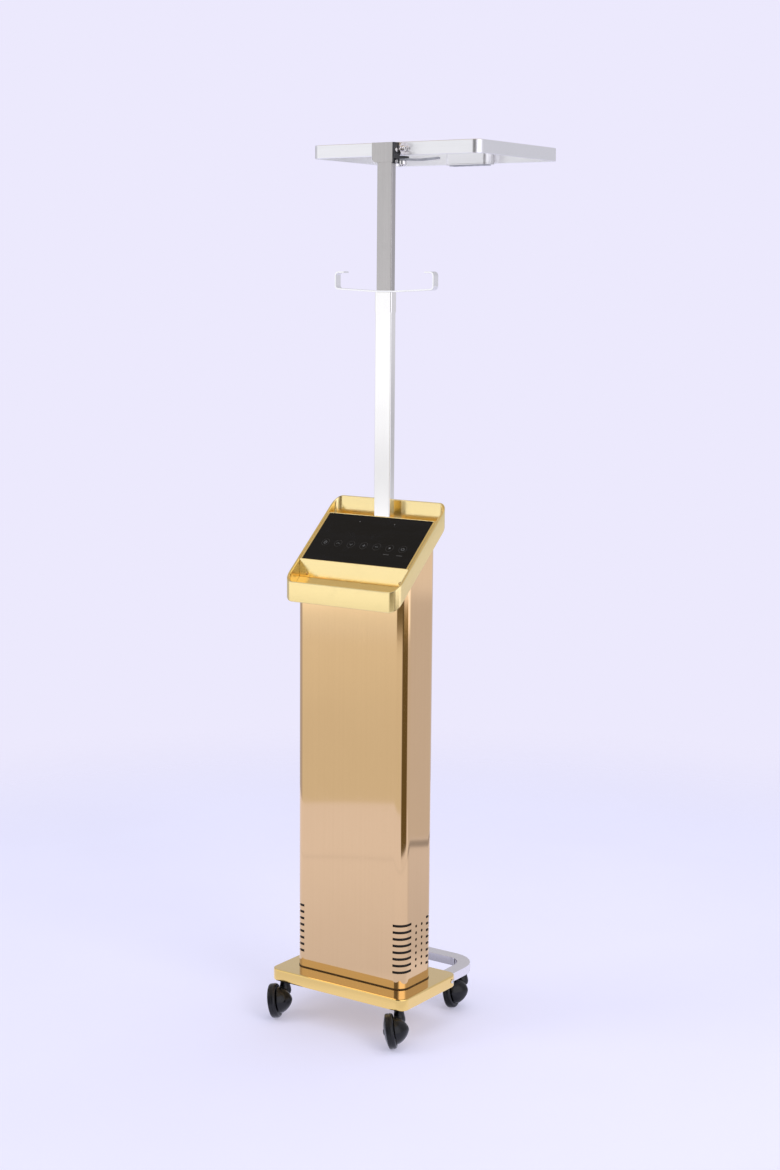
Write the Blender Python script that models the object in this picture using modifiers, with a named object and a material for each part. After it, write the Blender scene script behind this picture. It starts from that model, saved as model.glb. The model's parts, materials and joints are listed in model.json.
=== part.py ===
"""Digital perm machine: a castored pedestal with a sloped console and a telescopic mast.

The mast carries a ring that tilts down behind it and holds the heater leads above the chair.
Metres, +Z up, the operator stands on the -Y side. The origin is on the floor, in the middle of
the footprint. Inside the file, Y is counted from the middle of the column.
"""

import math

import bmesh
import bpy
from mathutils import Matrix, Vector

# Fits
GAP = 0.0003
RUN = 0.0004

# Castors
CASTOR_HEIGHT = 0.072
FRONT_LEFT_HEADING = math.radians(25)
FRONT_RIGHT_HEADING = math.radians(33)
REAR_HEADING = math.radians(15)
WHEEL_RADIUS = 0.034
WHEEL_TILT = math.radians(10)
WHEEL_TRAIL = 0.024
CONTACT_SIDESTEP = 0.0086
WHEEL_HALF_WIDTH = 0.0075
HUB_FACE = 0.0125
AXLE_RADIUS = 0.003
AXLE_HEAD_RADIUS = 0.006
AXLE_HEAD = 0.0022
HOOD_RADIUS = 0.0265
HOOD_DEPTH = 0.026
HOOD_FULLNESS = 1.55
HOOD_NOSE_RADIUS = 0.006
NECK_RADIUS = 0.0096
NECK_LENGTH = 0.029
STEM_RADIUS = 0.0045
STEM_GRIP = 0.014
STEM_COLLAR_RADIUS = 0.009
STEM_COLLAR = 0.002
STEM_IN_NECK = 0.023
FRONT_STEM_SIDE_INSET = 0.023
FRONT_STEM_INSET = 0.0205
REAR_STEM_TURN = math.radians(52)

# Base plate and the bar behind it
BASE_WIDTH = 0.322
BASE_FRONT = 0.0965
BASE_REAR = 0.097
BASE_THICKNESS = 0.024
BASE_CORNER = 0.020
BASE_EDGE = 0.003
BAR_SIDE_INSET = 0.010
BAR_BEHIND_BASE = 0.103
BAR_WIDTH = 0.026
BAR_HEIGHT = 0.017
BAR_DROP = 0.002
BAR_CORNER = 0.060
BAR_GRIP = 0.045
BAR_SCREW_RADIUS = 0.0042
BAR_SCREW_HEAD = 0.0025
BAR_SCREW_INSET = 0.022

# Column
COLUMN_DEPTH = 0.108
COLUMN_WALL = 0.0015
COLUMN_CORNER = 0.022
VENT_ROWS = 8
VENT_FIRST = 0.0345
VENT_PITCH = 0.0133
VENT_HEIGHT = 0.0050
VENT_ON_FACE = 0.023
VENT_ON_SIDE_FRONT = 0.0305
VENT_ON_SIDE_REAR = 0.0268
PORT_ROWS = 7
PORT_FIRST = 0.0382
PORT_PITCH = 0.0134
PORT_RADIUS = 0.0031
PORT_COLUMNS = (-0.007, 0.0125)

# Power parts in the column
FOOT_FRAME_WALL = 0.003
FOOT_FRAME_WIDTH = 0.014
FOOT_FRAME_HEIGHT = 0.020
CORE_WIDTH = 0.096
CORE_DEPTH = 0.040
CORE_HEIGHT = 0.080
CORE_YOKE = 0.016
CORE_LEG = 0.032
CORE_LIFT = 0.004
WINDING_DEPTH = 0.070
SINK_WIDTH = 0.090
SINK_HEIGHT = 0.110
SINK_BACK = 0.004
SINK_FIN = 0.0018
SINK_FIN_REACH = 0.018
SINK_FINS = 9
SINK_LEVEL = 0.200
BOARD_WIDTH = 0.110
BOARD_HEIGHT = 0.150
BOARD_THICKNESS = 0.0016
BRACKET_WALL = 0.002
STANDOFF_LENGTH = 0.010
STANDOFF_RADIUS = 0.003
STANDOFF_INSET = 0.010
BOARD_LEVEL = 0.400

# Mains inlet and switch on the back
INLET_X = -0.045
INLET_LEVEL = 0.170
INLET_FLANGE_WIDTH = 0.050
INLET_FLANGE_HEIGHT = 0.028
INLET_FLANGE = 0.0025
INLET_BODY_WIDTH = 0.027
INLET_BODY_HEIGHT = 0.020
INLET_BODY_DEPTH = 0.024
INLET_MOUTH_DEPTH = 0.016
INLET_MOUTH_WALL = 0.002
SWITCH_X = 0.030
SWITCH_WIDTH = 0.030
SWITCH_HEIGHT = 0.022
SWITCH_BEZEL = 0.0025
SWITCH_WALL = 0.002
SWITCH_BODY_DEPTH = 0.018
ROCKER_RADIUS = 0.0145
ROCKER_PROUD = 0.0035
ROCKER_PIN_RADIUS = 0.0012
ROCKER_THROW = math.radians(10)

# Console
CONSOLE_WIDTH = 0.266
CONSOLE_SIDE_OVERHANG = 0.0035
CONSOLE_FRONT_OVERHANG = 0.035
REAR_TRAY_BEHIND_POLE = 0.0182
CONSOLE_LEVEL = 0.7422
CONSOLE_SLOPE = math.radians(41.25)
CONSOLE_WALL_HEIGHT = 0.0395
CONSOLE_WALL = 0.0055
CONSOLE_CORNER = 0.019
CONSOLE_EDGE = 0.002
FLOOR_THICKNESS = 0.003
WIRE_OPENING = 0.060
FRONT_TRAY_DEPTH = 0.040
DECK_TO_POLE = 0.0011
DECK_LEG = 0.002
DECK_TOP = 0.005
DECK_DROP = 0.0008
GLASS_SIDE = 0.011
GLASS_MARGIN = 0.0008
GLASS_THICKNESS = 0.003
BOARD_MARGIN = 0.014
TOUCH_BOARD = 0.0012
DECK_SCREW_INSET = 0.0125
DECK_SCREW_LEVEL = 0.0085
DECK_SCREW_RADIUS = 0.003
DECK_SCREW_HEAD = 0.0016

# Mast
POLE_WIDTH = 0.0370
POLE_DEPTH = 0.0157
POLE_WALL = 0.001
POLE_IN_COLUMN = 0.0024
POLE_JOINT_LEVEL = 1.3335
POLE_CORNER = 0.0015
UPPER_POLE_OVERLAP = 0.300
SOCKET_WALL = 0.002
SOCKET_LENGTH = 0.160
SOCKET_BOTTOM = 0.004
SOCKET_FLANGE_WIDTH = 0.084
SOCKET_FLANGE = 0.002
SOCKET_SCREW_RADIUS = 0.0035
SOCKET_SCREW_HEAD = 0.002
SOCKET_SCREW_INSET = 0.025
HOOK_SPAN = 0.230
HOOK_RISE = 0.004
HOOK_LIFT = 0.035
HOOK_LIP = 0.022
HOOK_BEND = 0.008
HOOK_THICKNESS = 0.003
LOCK_DROP = 0.050
LOCK_KNOB_RADIUS = 0.009
LOCK_KNOB_LENGTH = 0.012
LOCK_SHANK_RADIUS = 0.003

# Mast head and its hinge
HEAD_BELOW_RING_TOP = 0.002
HEAD_COVER = 0.0055
HEAD_HEIGHT = 0.037
HEAD_LEFT_WALL = 0.0114
HEAD_RIGHT_WALL = 0.0016
HEAD_FRONT_WALL = 0.0017
HEAD_REAR_WALL = 0.005
HEAD_CORNER = 0.010
ARM_WIDTH = 0.0085
ARM_RADIUS = 0.006
PIVOT_AHEAD_OF_RING = 0.0065
BOLT_RADIUS = 0.003
BOLT_HEAD_RADIUS = 0.0055
BOLT_HEAD = 0.005
NUT_RADIUS = 0.0058
PLATE_WIDTH = 0.003
PLATE_ABOVE_PIVOT = 0.0107
PLATE_BELOW_PIVOT = 0.0284
FOOT_BELOW_PIVOT = 0.0155
PLATE_FOOT_REACH = 0.0245
PLATE_FOOT = 0.004
HINGE_SCREW_RADIUS = 0.004
HINGE_SCREW_HEAD = 0.0022
HINGE_SCREW_BEHIND_FRONT = 0.0068
HINGE_SCREW_DROPS = (0.0240, 0.0036)
LEVER_LENGTH = 0.078
LEVER_WIDTH = 0.009
LEVER_THICKNESS = 0.004
LEVER_DIP = 0.0014
LEVER_TIP_RISE = 0.001
LEVER_GRIP_FROM = 0.042
LEVER_AZIMUTH = math.radians(4)
LEVER_PIN_RADIUS = 0.0028
LEVER_KNOB_RADIUS = 0.0075
LEVER_KNOB = 0.010

# Lead ring
RING_WIDTH = 0.387
RING_BEHIND_POLE = 0.0137
RING_DEPTH = 0.294
RING_LEVEL = 1.590
RING_HEIGHT = 0.0255
RING_WALL = 0.004
RING_CORNER = 0.0168
RING_EDGE = 0.0008
EAR_WIDTH = 0.005
EAR_RADIUS = 0.0115
LEAD_BOX_WIDTH = 0.104
LEAD_BOX_DEPTH = 0.033
LEAD_BOX_HEIGHT = 0.026
LEAD_BOX_WALL = 0.002
LEAD_BOX_CORNER = 0.012
LEAD_COVER = 0.002
LEAD_SOCKETS = 5
LEAD_SOCKET_RADIUS = 0.006
LEAD_SOCKET_PITCH = 0.017
LEAD_SOCKET_HEIGHT = 0.009
LEAD_SOCKET_LIP = 0.0015

# Levels and places worked out from the sizes above
BASE_BOTTOM = CASTOR_HEIGHT
WHEEL_SIDESTEP = CONTACT_SIDESTEP + WHEEL_RADIUS * math.sin(WHEEL_TILT)
FRONT_STEM_SPREAD = BASE_WIDTH - 2 * FRONT_STEM_SIDE_INSET
BAR_SPAN = BASE_WIDTH - 2 * BAR_SIDE_INSET
BAR_REACH = BASE_REAR + BAR_BEHIND_BASE
COLUMN_WIDTH = CONSOLE_WIDTH - 2 * CONSOLE_SIDE_OVERHANG
BASE_TOP = BASE_BOTTOM + BASE_THICKNESS
BAR_TOP = BASE_TOP - BAR_DROP
BAR_BOTTOM = BAR_TOP - BAR_HEIGHT
COLUMN_REAR = COLUMN_DEPTH / 2
POLE_FRONT = COLUMN_REAR - POLE_IN_COLUMN
POLE_REAR = POLE_FRONT + POLE_DEPTH
CONSOLE_FRONT = COLUMN_DEPTH / 2 + CONSOLE_FRONT_OVERHANG
CONSOLE_REAR = POLE_REAR + REAR_TRAY_BEHIND_POLE
DECK_FRONT = CONSOLE_FRONT - CONSOLE_WALL - FRONT_TRAY_DEPTH
DECK_REAR = POLE_FRONT - DECK_TO_POLE
GLASS_WIDTH = CONSOLE_WIDTH - 2 * GLASS_SIDE
DECK_SCREW_X = GLASS_WIDTH / 2 - DECK_SCREW_INSET
RING_FRONT = POLE_REAR + RING_BEHIND_POLE
PIVOT_Y = RING_FRONT - PIVOT_AHEAD_OF_RING
HEAD_TOP = RING_LEVEL + RING_HEIGHT - HEAD_BELOW_RING_TOP
UPPER_POLE_TOP = HEAD_TOP - HEAD_COVER
HOOK_DEPTH = POLE_DEPTH
SLOPE_RISE = math.tan(CONSOLE_SLOPE)
CONSOLE_DEPTH = CONSOLE_FRONT + CONSOLE_REAR
CONSOLE_FOOT = BASE_TOP + CONSOLE_LEVEL
POLE_Y = POLE_FRONT + POLE_DEPTH / 2
POLE_JOINT = BASE_TOP + POLE_JOINT_LEVEL
UPPER_WIDTH = POLE_WIDTH - 2 * (POLE_WALL + GAP)
UPPER_DEPTH = POLE_DEPTH - 2 * (POLE_WALL + GAP)
HEAD_LEFT = UPPER_WIDTH / 2 + HEAD_LEFT_WALL
HEAD_RIGHT = UPPER_WIDTH / 2 + HEAD_RIGHT_WALL
PIVOT_Z = BASE_TOP + RING_LEVEL + RING_HEIGHT / 2
STEM_TOP_OF_HOOD = CASTOR_HEIGHT - STEM_COLLAR - 2 * GAP
REAR_STEM_X = BAR_SPAN / 2 - BAR_CORNER + (BAR_CORNER - BAR_WIDTH / 2) * math.cos(REAR_STEM_TURN)
REAR_STEM_Y = BAR_REACH - BAR_CORNER + (BAR_CORNER - BAR_WIDTH / 2) * math.sin(REAR_STEM_TURN)
FRONT_STEM_Y = -BASE_FRONT + FRONT_STEM_INSET

# Section of a castor wheel, as radius and place along the axle; the hood is on the positive side
WHEEL_SECTION = (
    (AXLE_RADIUS + RUN, WHEEL_HALF_WIDTH - 0.001),
    (0.40 * WHEEL_RADIUS, WHEEL_HALF_WIDTH - 0.001),
    (0.72 * WHEEL_RADIUS, WHEEL_HALF_WIDTH - 0.003),
    (0.86 * WHEEL_RADIUS, WHEEL_HALF_WIDTH),
    (0.96 * WHEEL_RADIUS, WHEEL_HALF_WIDTH - 0.001),
    (WHEEL_RADIUS, WHEEL_HALF_WIDTH - 0.004),
    (WHEEL_RADIUS, 0.003 - WHEEL_HALF_WIDTH),
    (0.95 * WHEEL_RADIUS, -WHEEL_HALF_WIDTH),
    (0.70 * WHEEL_RADIUS, -(WHEEL_HALF_WIDTH + HUB_FACE) / 2),
    (0.38 * WHEEL_RADIUS, -HUB_FACE),
    (AXLE_RADIUS + RUN, -HUB_FACE),
)
WHEEL_CENTRE_HEIGHT = max(
    radius * math.cos(WHEEL_TILT) - along * math.sin(WHEEL_TILT) for radius, along in WHEEL_SECTION
)

# The wheels stand ahead of the front stems, so they and the ring's rear set the footprint's ends
WHEEL_AHEAD = max(
    WHEEL_TRAIL * math.cos(heading)
    + WHEEL_SIDESTEP * math.sin(heading)
    + radius * math.sqrt(1 - (math.cos(WHEEL_TILT) * math.sin(heading)) ** 2)
    - along * math.cos(WHEEL_TILT) * math.sin(heading)
    for heading in (FRONT_LEFT_HEADING, FRONT_RIGHT_HEADING)
    for radius, along in WHEEL_SECTION
)
FOOTPRINT_FRONT = FRONT_STEM_Y - WHEEL_AHEAD
FOOTPRINT_REAR = RING_FRONT + RING_DEPTH
ORIGIN_Y = (FOOTPRINT_FRONT + FOOTPRINT_REAR) / 2

ROUND_STEPS = 24
SMALL_STEPS = 12
CORNER_STEPS = 6


def clear_scene():
    """Remove every object that the file opened with."""
    for obj in list(bpy.data.objects):
        bpy.data.objects.remove(obj, do_unlink=True)


def collection(name):
    """A new collection linked to the scene."""
    made = bpy.data.collections.new(name)
    bpy.context.scene.collection.children.link(made)
    return made


clear_scene()
PARTS = collection("digital_perm_machine")
CUTTERS = collection("cutters")


def finish(name, colour, roughness, metallic):
    """A Principled material."""
    made = bpy.data.materials.new(name)
    made.use_nodes = True
    shader = made.node_tree.nodes["Principled BSDF"]
    shader.inputs["Base Color"].default_value = (*colour, 1.0)
    shader.inputs["Roughness"].default_value = roughness
    shader.inputs["Metallic"].default_value = metallic
    return made


SATIN_GOLD = finish("satin_gold", (0.62, 0.43, 0.22), 0.32, 0.9)
BRIGHT_GOLD = finish("bright_gold", (0.83, 0.60, 0.26), 0.24, 0.95)
BRUSHED_STEEL = finish("brushed_steel", (0.62, 0.61, 0.60), 0.34, 1.0)
PALE_ALUMINIUM = finish("pale_aluminium", (0.80, 0.80, 0.81), 0.30, 0.9)
DARK_STEEL = finish("dark_steel", (0.05, 0.05, 0.055), 0.35, 0.8)
BRIGHT_SCREW = finish("bright_screw", (0.78, 0.78, 0.78), 0.20, 1.0)
BLACK_PLASTIC = finish("black_plastic", (0.018, 0.018, 0.020), 0.38, 0.0)
BLACK_GLASS = finish("black_glass", (0.010, 0.010, 0.012), 0.06, 0.0)
CORE_IRON = finish("core_iron", (0.16, 0.16, 0.17), 0.55, 0.8)
COPPER_TAPE = finish("copper_tape", (0.52, 0.30, 0.08), 0.50, 0.2)
CIRCUIT_GREEN = finish("circuit_green", (0.02, 0.14, 0.06), 0.45, 0.0)


def empty(name, parent=None, location=(0, 0, 0), rotation=(0, 0, 0)):
    """A frame that pieces hang from, on a joint's axis or at an assembly's corner."""
    made = bpy.data.objects.new(name, None)
    PARTS.objects.link(made)
    made.parent = parent
    made.location = location
    made.rotation_euler = rotation
    return made


def put(name, mesh, material, parent, location=(0, 0, 0), rotation=(0, 0, 0)):
    """A piece of the machine."""
    made = bpy.data.objects.new(name, mesh)
    PARTS.objects.link(made)
    made.parent = parent
    made.location = location
    made.rotation_euler = rotation
    made.data.materials.clear()
    made.data.materials.append(material)
    return made


def tool(name, mesh, parent, location=(0, 0, 0), rotation=(0, 0, 0)):
    """A shape that only cuts or joins."""
    made = bpy.data.objects.new(name, mesh)
    CUTTERS.objects.link(made)
    made.parent = parent
    made.location = location
    made.rotation_euler = rotation
    made.hide_render = True
    made.display_type = "WIRE"
    return made


def boolean(target, operand, operation):
    """Cut or join a shape with the exact solver."""
    modifier = target.modifiers.new(operand.name, "BOOLEAN")
    modifier.operation = operation
    modifier.object = operand
    modifier.solver = "EXACT"


def cut(target, operand):
    """Cut a shape out of a piece."""
    boolean(target, operand, "DIFFERENCE")


def unite(target, operand):
    """Join a shape to a piece."""
    boolean(target, operand, "UNION")


def round_edges(target, width, segments=2, angle=50):
    """Round the edges that are sharper than an angle."""
    modifier = target.modifiers.new("rounded_edges", "BEVEL")
    modifier.width = width
    modifier.segments = segments
    modifier.limit_method = "ANGLE"
    modifier.angle_limit = math.radians(angle)


def mesh_of(name, build):
    """A mesh filled by a function that is handed a bmesh."""
    mesh = bpy.data.meshes.new(name)
    shape = bmesh.new()
    build(shape)
    bmesh.ops.recalc_face_normals(shape, faces=shape.faces)
    shape.to_mesh(mesh)
    shape.free()
    return mesh


def add_box(shape, low, high):
    """Add a box between two corners to a bmesh."""
    low = Vector(low)
    high = Vector(high)
    place = Matrix.Translation((low + high) / 2) @ Matrix.Diagonal((*(high - low), 1))
    bmesh.ops.create_cube(shape, size=1, matrix=place)


def box(name, low, high):
    """A box between two corners."""
    return mesh_of(name, lambda shape: add_box(shape, low, high))


def boxes(name, corners):
    """Separate boxes in one mesh."""

    def build(shape):
        for low, high in corners:
            add_box(shape, low, high)

    return mesh_of(name, build)


def along(axis):
    """The turn that takes Z to another axis."""
    return {"X": Matrix.Rotation(math.pi / 2, 4, "Y"), "Y": Matrix.Rotation(-math.pi / 2, 4, "X"), "Z": Matrix()}[axis]


def add_cylinder(shape, centre, radius, length, axis="Z", steps=SMALL_STEPS):
    """Add a cylinder to a bmesh."""
    place = Matrix.Translation(centre) @ along(axis)
    bmesh.ops.create_cone(
        shape, cap_ends=True, segments=steps, radius1=radius, radius2=radius, depth=length, matrix=place
    )


def cylinder(name, centre, radius, length, axis="Z", steps=SMALL_STEPS):
    """A cylinder about a point."""
    return mesh_of(name, lambda shape: add_cylinder(shape, centre, radius, length, axis, steps))


def cylinders(name, centres, radius, length, axis="Z", steps=SMALL_STEPS):
    """Separate like cylinders in one mesh."""

    def build(shape):
        for centre in centres:
            add_cylinder(shape, centre, radius, length, axis, steps)

    return mesh_of(name, build)


def rounded_block(name, low, high, radius, open_ends=False):
    """A box with its four upright edges rounded, or only its walls."""

    def build(shape):
        add_box(shape, low, high)
        upright = [edge for edge in shape.edges if abs(edge.verts[0].co.z - edge.verts[1].co.z) > 1e-6]
        bmesh.ops.bevel(
            shape, geom=upright, offset=radius, segments=CORNER_STEPS, affect="EDGES", profile=0.5
        )
        if open_ends:
            ends = [face for face in shape.faces if abs(face.normal.z) > 0.9]
            bmesh.ops.delete(shape, geom=ends, context="FACES")

    return mesh_of(name, build)


def wall_band(name, low, high, radius, wall, material, parent, location=(0, 0, 0)):
    """A band of upright walls with rounded corners, open at both ends."""
    band = put(name, rounded_block(name, low, high, radius, open_ends=True), material, parent, location)
    solidify = band.modifiers.new("wall", "SOLIDIFY")
    solidify.thickness = wall
    solidify.offset = -1
    solidify.use_even_offset = True
    return band


def arc(centre, radius, start, end, steps=CORNER_STEPS):
    """Points round an arc, with angles in degrees."""
    turns = [math.radians(start + (end - start) * step / steps) for step in range(steps + 1)]
    return [(centre[0] + radius * math.cos(turn), centre[1] + radius * math.sin(turn)) for turn in turns]


def plate(name, outline, thickness):
    """A flat outline in XY, as thick as stated, centred on Z."""
    curve = bpy.data.curves.new(name, "CURVE")
    curve.dimensions = "2D"
    curve.fill_mode = "BOTH"
    curve.extrude = thickness / 2
    spline = curve.splines.new("POLY")
    spline.points.add(len(outline) - 1)
    for point, place in zip(spline.points, outline):
        point.co = (place[0], place[1], 0, 1)
    spline.use_cyclic_u = True
    drawn = bpy.data.objects.new(name, curve)
    bpy.context.scene.collection.objects.link(drawn)
    bpy.context.view_layer.update()
    mesh = bpy.data.meshes.new_from_object(drawn.evaluated_get(bpy.context.evaluated_depsgraph_get()))
    bpy.data.objects.remove(drawn, do_unlink=True)
    bpy.data.curves.remove(curve)
    shape = bmesh.new()
    shape.from_mesh(mesh)
    bmesh.ops.remove_doubles(shape, verts=shape.verts, dist=1e-6)
    bmesh.ops.recalc_face_normals(shape, faces=shape.faces)
    shape.to_mesh(mesh)
    shape.free()
    return mesh


def turned(name, section, material, parent, location=(0, 0, 0), rotation=(0, 0, 0), steps=ROUND_STEPS):
    """A piece turned about Z from a section that runs down its outer side."""
    mesh = bpy.data.meshes.new(name)
    closed = section[0][0] > 0 and section[-1][0] > 0
    edges = [(step, step + 1) for step in range(len(section) - 1)]
    if closed:
        edges.append((len(section) - 1, 0))
    mesh.from_pydata([(radius, 0, height) for radius, height in section], edges, [])
    made = put(name, mesh, material, parent, location, rotation)
    screw = made.modifiers.new("turned", "SCREW")
    screw.axis = "Z"
    screw.steps = steps
    screw.render_steps = steps
    screw.use_merge_vertices = True
    screw.merge_threshold = 1e-5
    return made


def settle(obj):
    """Replace a piece's modifiers by the mesh that they make, so that copies can share it."""
    bpy.context.view_layer.update()
    graph = bpy.context.evaluated_depsgraph_get()
    mesh = bpy.data.meshes.new_from_object(obj.evaluated_get(graph))
    obj.modifiers.clear()
    obj.data = mesh
    return mesh


def lean(mesh):
    """Shear a console piece so that its level faces follow the console's slope."""
    shear = Matrix.Identity(4)
    shear[2][1] = SLOPE_RISE
    mesh.transform(shear)
    return mesh


ROOT = empty("machine", None, (0, -ORIGIN_Y, 0))
CONSOLE = empty("console", ROOT, (0, -CONSOLE_FRONT, CONSOLE_FOOT))
MAST = empty("upper_mast", ROOT, (0, POLE_Y, POLE_JOINT))
RING = empty("ring_pivot", ROOT, (0, PIVOT_Y, PIVOT_Z))


def to_console(y):
    """A place along Y, counted from the console's front."""
    return y + CONSOLE_FRONT


def castor_copies():
    """Each castor's name, the place of its stem, the underside that the stem hangs from and its heading."""
    front = FRONT_STEM_SPREAD / 2
    return (
        ("castor_front_left", (-front, FRONT_STEM_Y), BASE_BOTTOM, FRONT_LEFT_HEADING),
        ("castor_front_right", (front, FRONT_STEM_Y), BASE_BOTTOM, FRONT_RIGHT_HEADING),
        ("castor_rear_left", (-REAR_STEM_X, REAR_STEM_Y), BAR_BOTTOM, REAR_HEADING),
        ("castor_rear_right", (REAR_STEM_X, REAR_STEM_Y), BAR_BOTTOM, REAR_HEADING),
    )


def make_castors():
    """Four swivelling castors: a hood on a fixed stem, and a tilted wheel on the hood's axle."""
    tilt = (0, math.pi / 2 - WHEEL_TILT, 0)
    hub = (-WHEEL_SIDESTEP, -WHEEL_TRAIL, WHEEL_CENTRE_HEIGHT)
    hood_face = WHEEL_HALF_WIDTH + 2 * RUN
    bore_end = hood_face + 0.65 * HOOD_DEPTH
    dome = []
    power = 2 / HOOD_FULLNESS
    nose = math.asin((HOOD_NOSE_RADIUS / HOOD_RADIUS) ** (1 / power))
    for step in range(CORNER_STEPS):
        turn = nose + (math.pi / 2 - nose) * step / CORNER_STEPS
        dome.append((HOOD_RADIUS * math.sin(turn) ** power, hood_face + HOOD_DEPTH * math.cos(turn) ** power))
    dome.append((HOOD_RADIUS, hood_face))
    hood_section = [(0, dome[0][1])] + dome
    hood_section += [(AXLE_RADIUS + GAP, hood_face), (AXLE_RADIUS + GAP, bore_end), (0, bore_end)]
    axle_section = (
        (0, bore_end - GAP),
        (AXLE_RADIUS, bore_end - GAP),
        (AXLE_RADIUS, -HUB_FACE - GAP),
        (AXLE_HEAD_RADIUS, -HUB_FACE - GAP),
        (AXLE_HEAD_RADIUS, -HUB_FACE - GAP - 0.6 * AXLE_HEAD),
        (0.7 * AXLE_HEAD_RADIUS, -HUB_FACE - GAP - AXLE_HEAD),
        (0, -HUB_FACE - GAP - AXLE_HEAD),
    )
    hood_mesh = None
    wheel_mesh = None
    axle_mesh = None
    for name, (x, y), underside, heading in castor_copies():
        swivel = empty(name + "_swivel", ROOT, (x, y, 0), (0, 0, heading))
        spin = empty(name + "_spin", swivel, hub, tilt)
        if hood_mesh is None:
            hood = turned(name + "_hood", hood_section, BLACK_PLASTIC, spin)
            neck_low = STEM_TOP_OF_HOOD - NECK_LENGTH
            neck_middle = (0, 0, (STEM_TOP_OF_HOOD + neck_low) / 2)
            neck = cylinder("castor_neck", neck_middle, NECK_RADIUS, NECK_LENGTH, steps=ROUND_STEPS)
            bore_low = STEM_TOP_OF_HOOD - STEM_IN_NECK
            bore_middle = (0, 0, (bore_low + STEM_TOP_OF_HOOD + GAP) / 2)
            bore = cylinder(
                "castor_bore", bore_middle, STEM_RADIUS + RUN, STEM_IN_NECK + GAP, steps=ROUND_STEPS
            )
            room_end = hood_face + GAP
            room_middle = (0, 0, room_end - WHEEL_HALF_WIDTH)
            room = cylinder(
                "wheel_room",
                room_middle,
                WHEEL_RADIUS + 4 * RUN,
                2 * WHEEL_HALF_WIDTH,
                steps=ROUND_STEPS,
            )
            post = tool("castor_neck", neck, swivel)
            cut(post, tool("wheel_room", room, spin))
            unite(hood, post)
            cut(hood, tool("castor_bore", bore, swivel))
            hood_mesh = settle(hood)
            wheel = turned(name + "_wheel", WHEEL_SECTION, BLACK_PLASTIC, spin)
            wheel_mesh = settle(wheel)
            axle = turned(name + "_axle", axle_section, DARK_STEEL, spin, steps=SMALL_STEPS)
            axle_mesh = settle(axle)
        else:
            put(name + "_hood", hood_mesh, BLACK_PLASTIC, spin)
            put(name + "_wheel", wheel_mesh, BLACK_PLASTIC, spin)
            put(name + "_axle", axle_mesh, DARK_STEEL, spin)


def make_castor_stems():
    """The four stems, fixed in the base plate and the bar, each with the collar that it bears on."""
    low = STEM_TOP_OF_HOOD - STEM_IN_NECK + RUN
    collar_low = STEM_TOP_OF_HOOD + GAP
    for name, (x, y), underside, heading in castor_copies():
        collar_high = underside - GAP
        top = underside + STEM_GRIP - GAP
        section = (
            (0, top),
            (STEM_RADIUS, top),
            (STEM_RADIUS, collar_high),
            (STEM_COLLAR_RADIUS, collar_high),
            (STEM_COLLAR_RADIUS, collar_low),
            (STEM_RADIUS, collar_low),
            (STEM_RADIUS, low),
            (0, low),
        )
        turned(name + "_stem", section, BRIGHT_SCREW, ROOT, (x, y, 0))


def make_base():
    """The base plate, with the bar that carries the rear castors let into its back edge."""
    half = BASE_WIDTH / 2
    base = put(
        "base_plate",
        rounded_block(
            "base_plate", (-half, -BASE_FRONT, BASE_BOTTOM), (half, BASE_REAR, BASE_TOP), BASE_CORNER
        ),
        BRIGHT_GOLD,
        ROOT,
    )
    round_edges(base, BASE_EDGE)
    outer = BAR_SPAN / 2
    inner = outer - BAR_WIDTH
    start = BASE_REAR - BAR_GRIP
    middle = BAR_REACH - BAR_CORNER
    outline = [(-outer, start), (-inner, start)]
    outline += arc((-outer + BAR_CORNER, middle), BAR_CORNER - BAR_WIDTH, 180, 90)
    outline += arc((outer - BAR_CORNER, middle), BAR_CORNER - BAR_WIDTH, 90, 0)
    outline += [(inner, start), (outer, start)]
    outline += arc((outer - BAR_CORNER, middle), BAR_CORNER, 0, 90)
    outline += arc((-outer + BAR_CORNER, middle), BAR_CORNER, 90, 180)
    bar_mesh = plate("outrigger_bar", outline, BAR_HEIGHT)
    bar = put("outrigger_bar", bar_mesh, PALE_ALUMINIUM, ROOT, (0, 0, BAR_TOP - BAR_HEIGHT / 2))
    mortises = []
    for side in (-1, 1):
        edges = sorted((side * (inner - GAP), side * (outer + GAP)))
        low = (edges[0], start - GAP, BAR_BOTTOM - GAP)
        mortises.append((low, (edges[1], BASE_REAR + BASE_EDGE, BAR_TOP + GAP)))
    cut(base, tool("bar_mortises", boxes("bar_mortises", mortises), ROOT))
    holes = [(x, y, underside) for _, (x, y), underside, _ in castor_copies()]
    hole_mesh = cylinders("stem_holes", holes, STEM_RADIUS + GAP, 2 * STEM_GRIP, steps=ROUND_STEPS)
    holes_tool = tool("stem_holes", hole_mesh, ROOT)
    cut(base, holes_tool)
    cut(bar, holes_tool)
    screw_y = BASE_REAR - BAR_SCREW_INSET
    screw_z = BAR_TOP - BAR_HEIGHT / 2
    for side, word in ((-1, "left"), (1, "right")):
        name = "outrigger_screw_" + word
        place = (side * (half + GAP + BAR_SCREW_HEAD / 2), screw_y, screw_z)
        put(name, cylinder(name, place, BAR_SCREW_RADIUS, BAR_SCREW_HEAD, "X"), BRIGHT_SCREW, ROOT)


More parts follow.
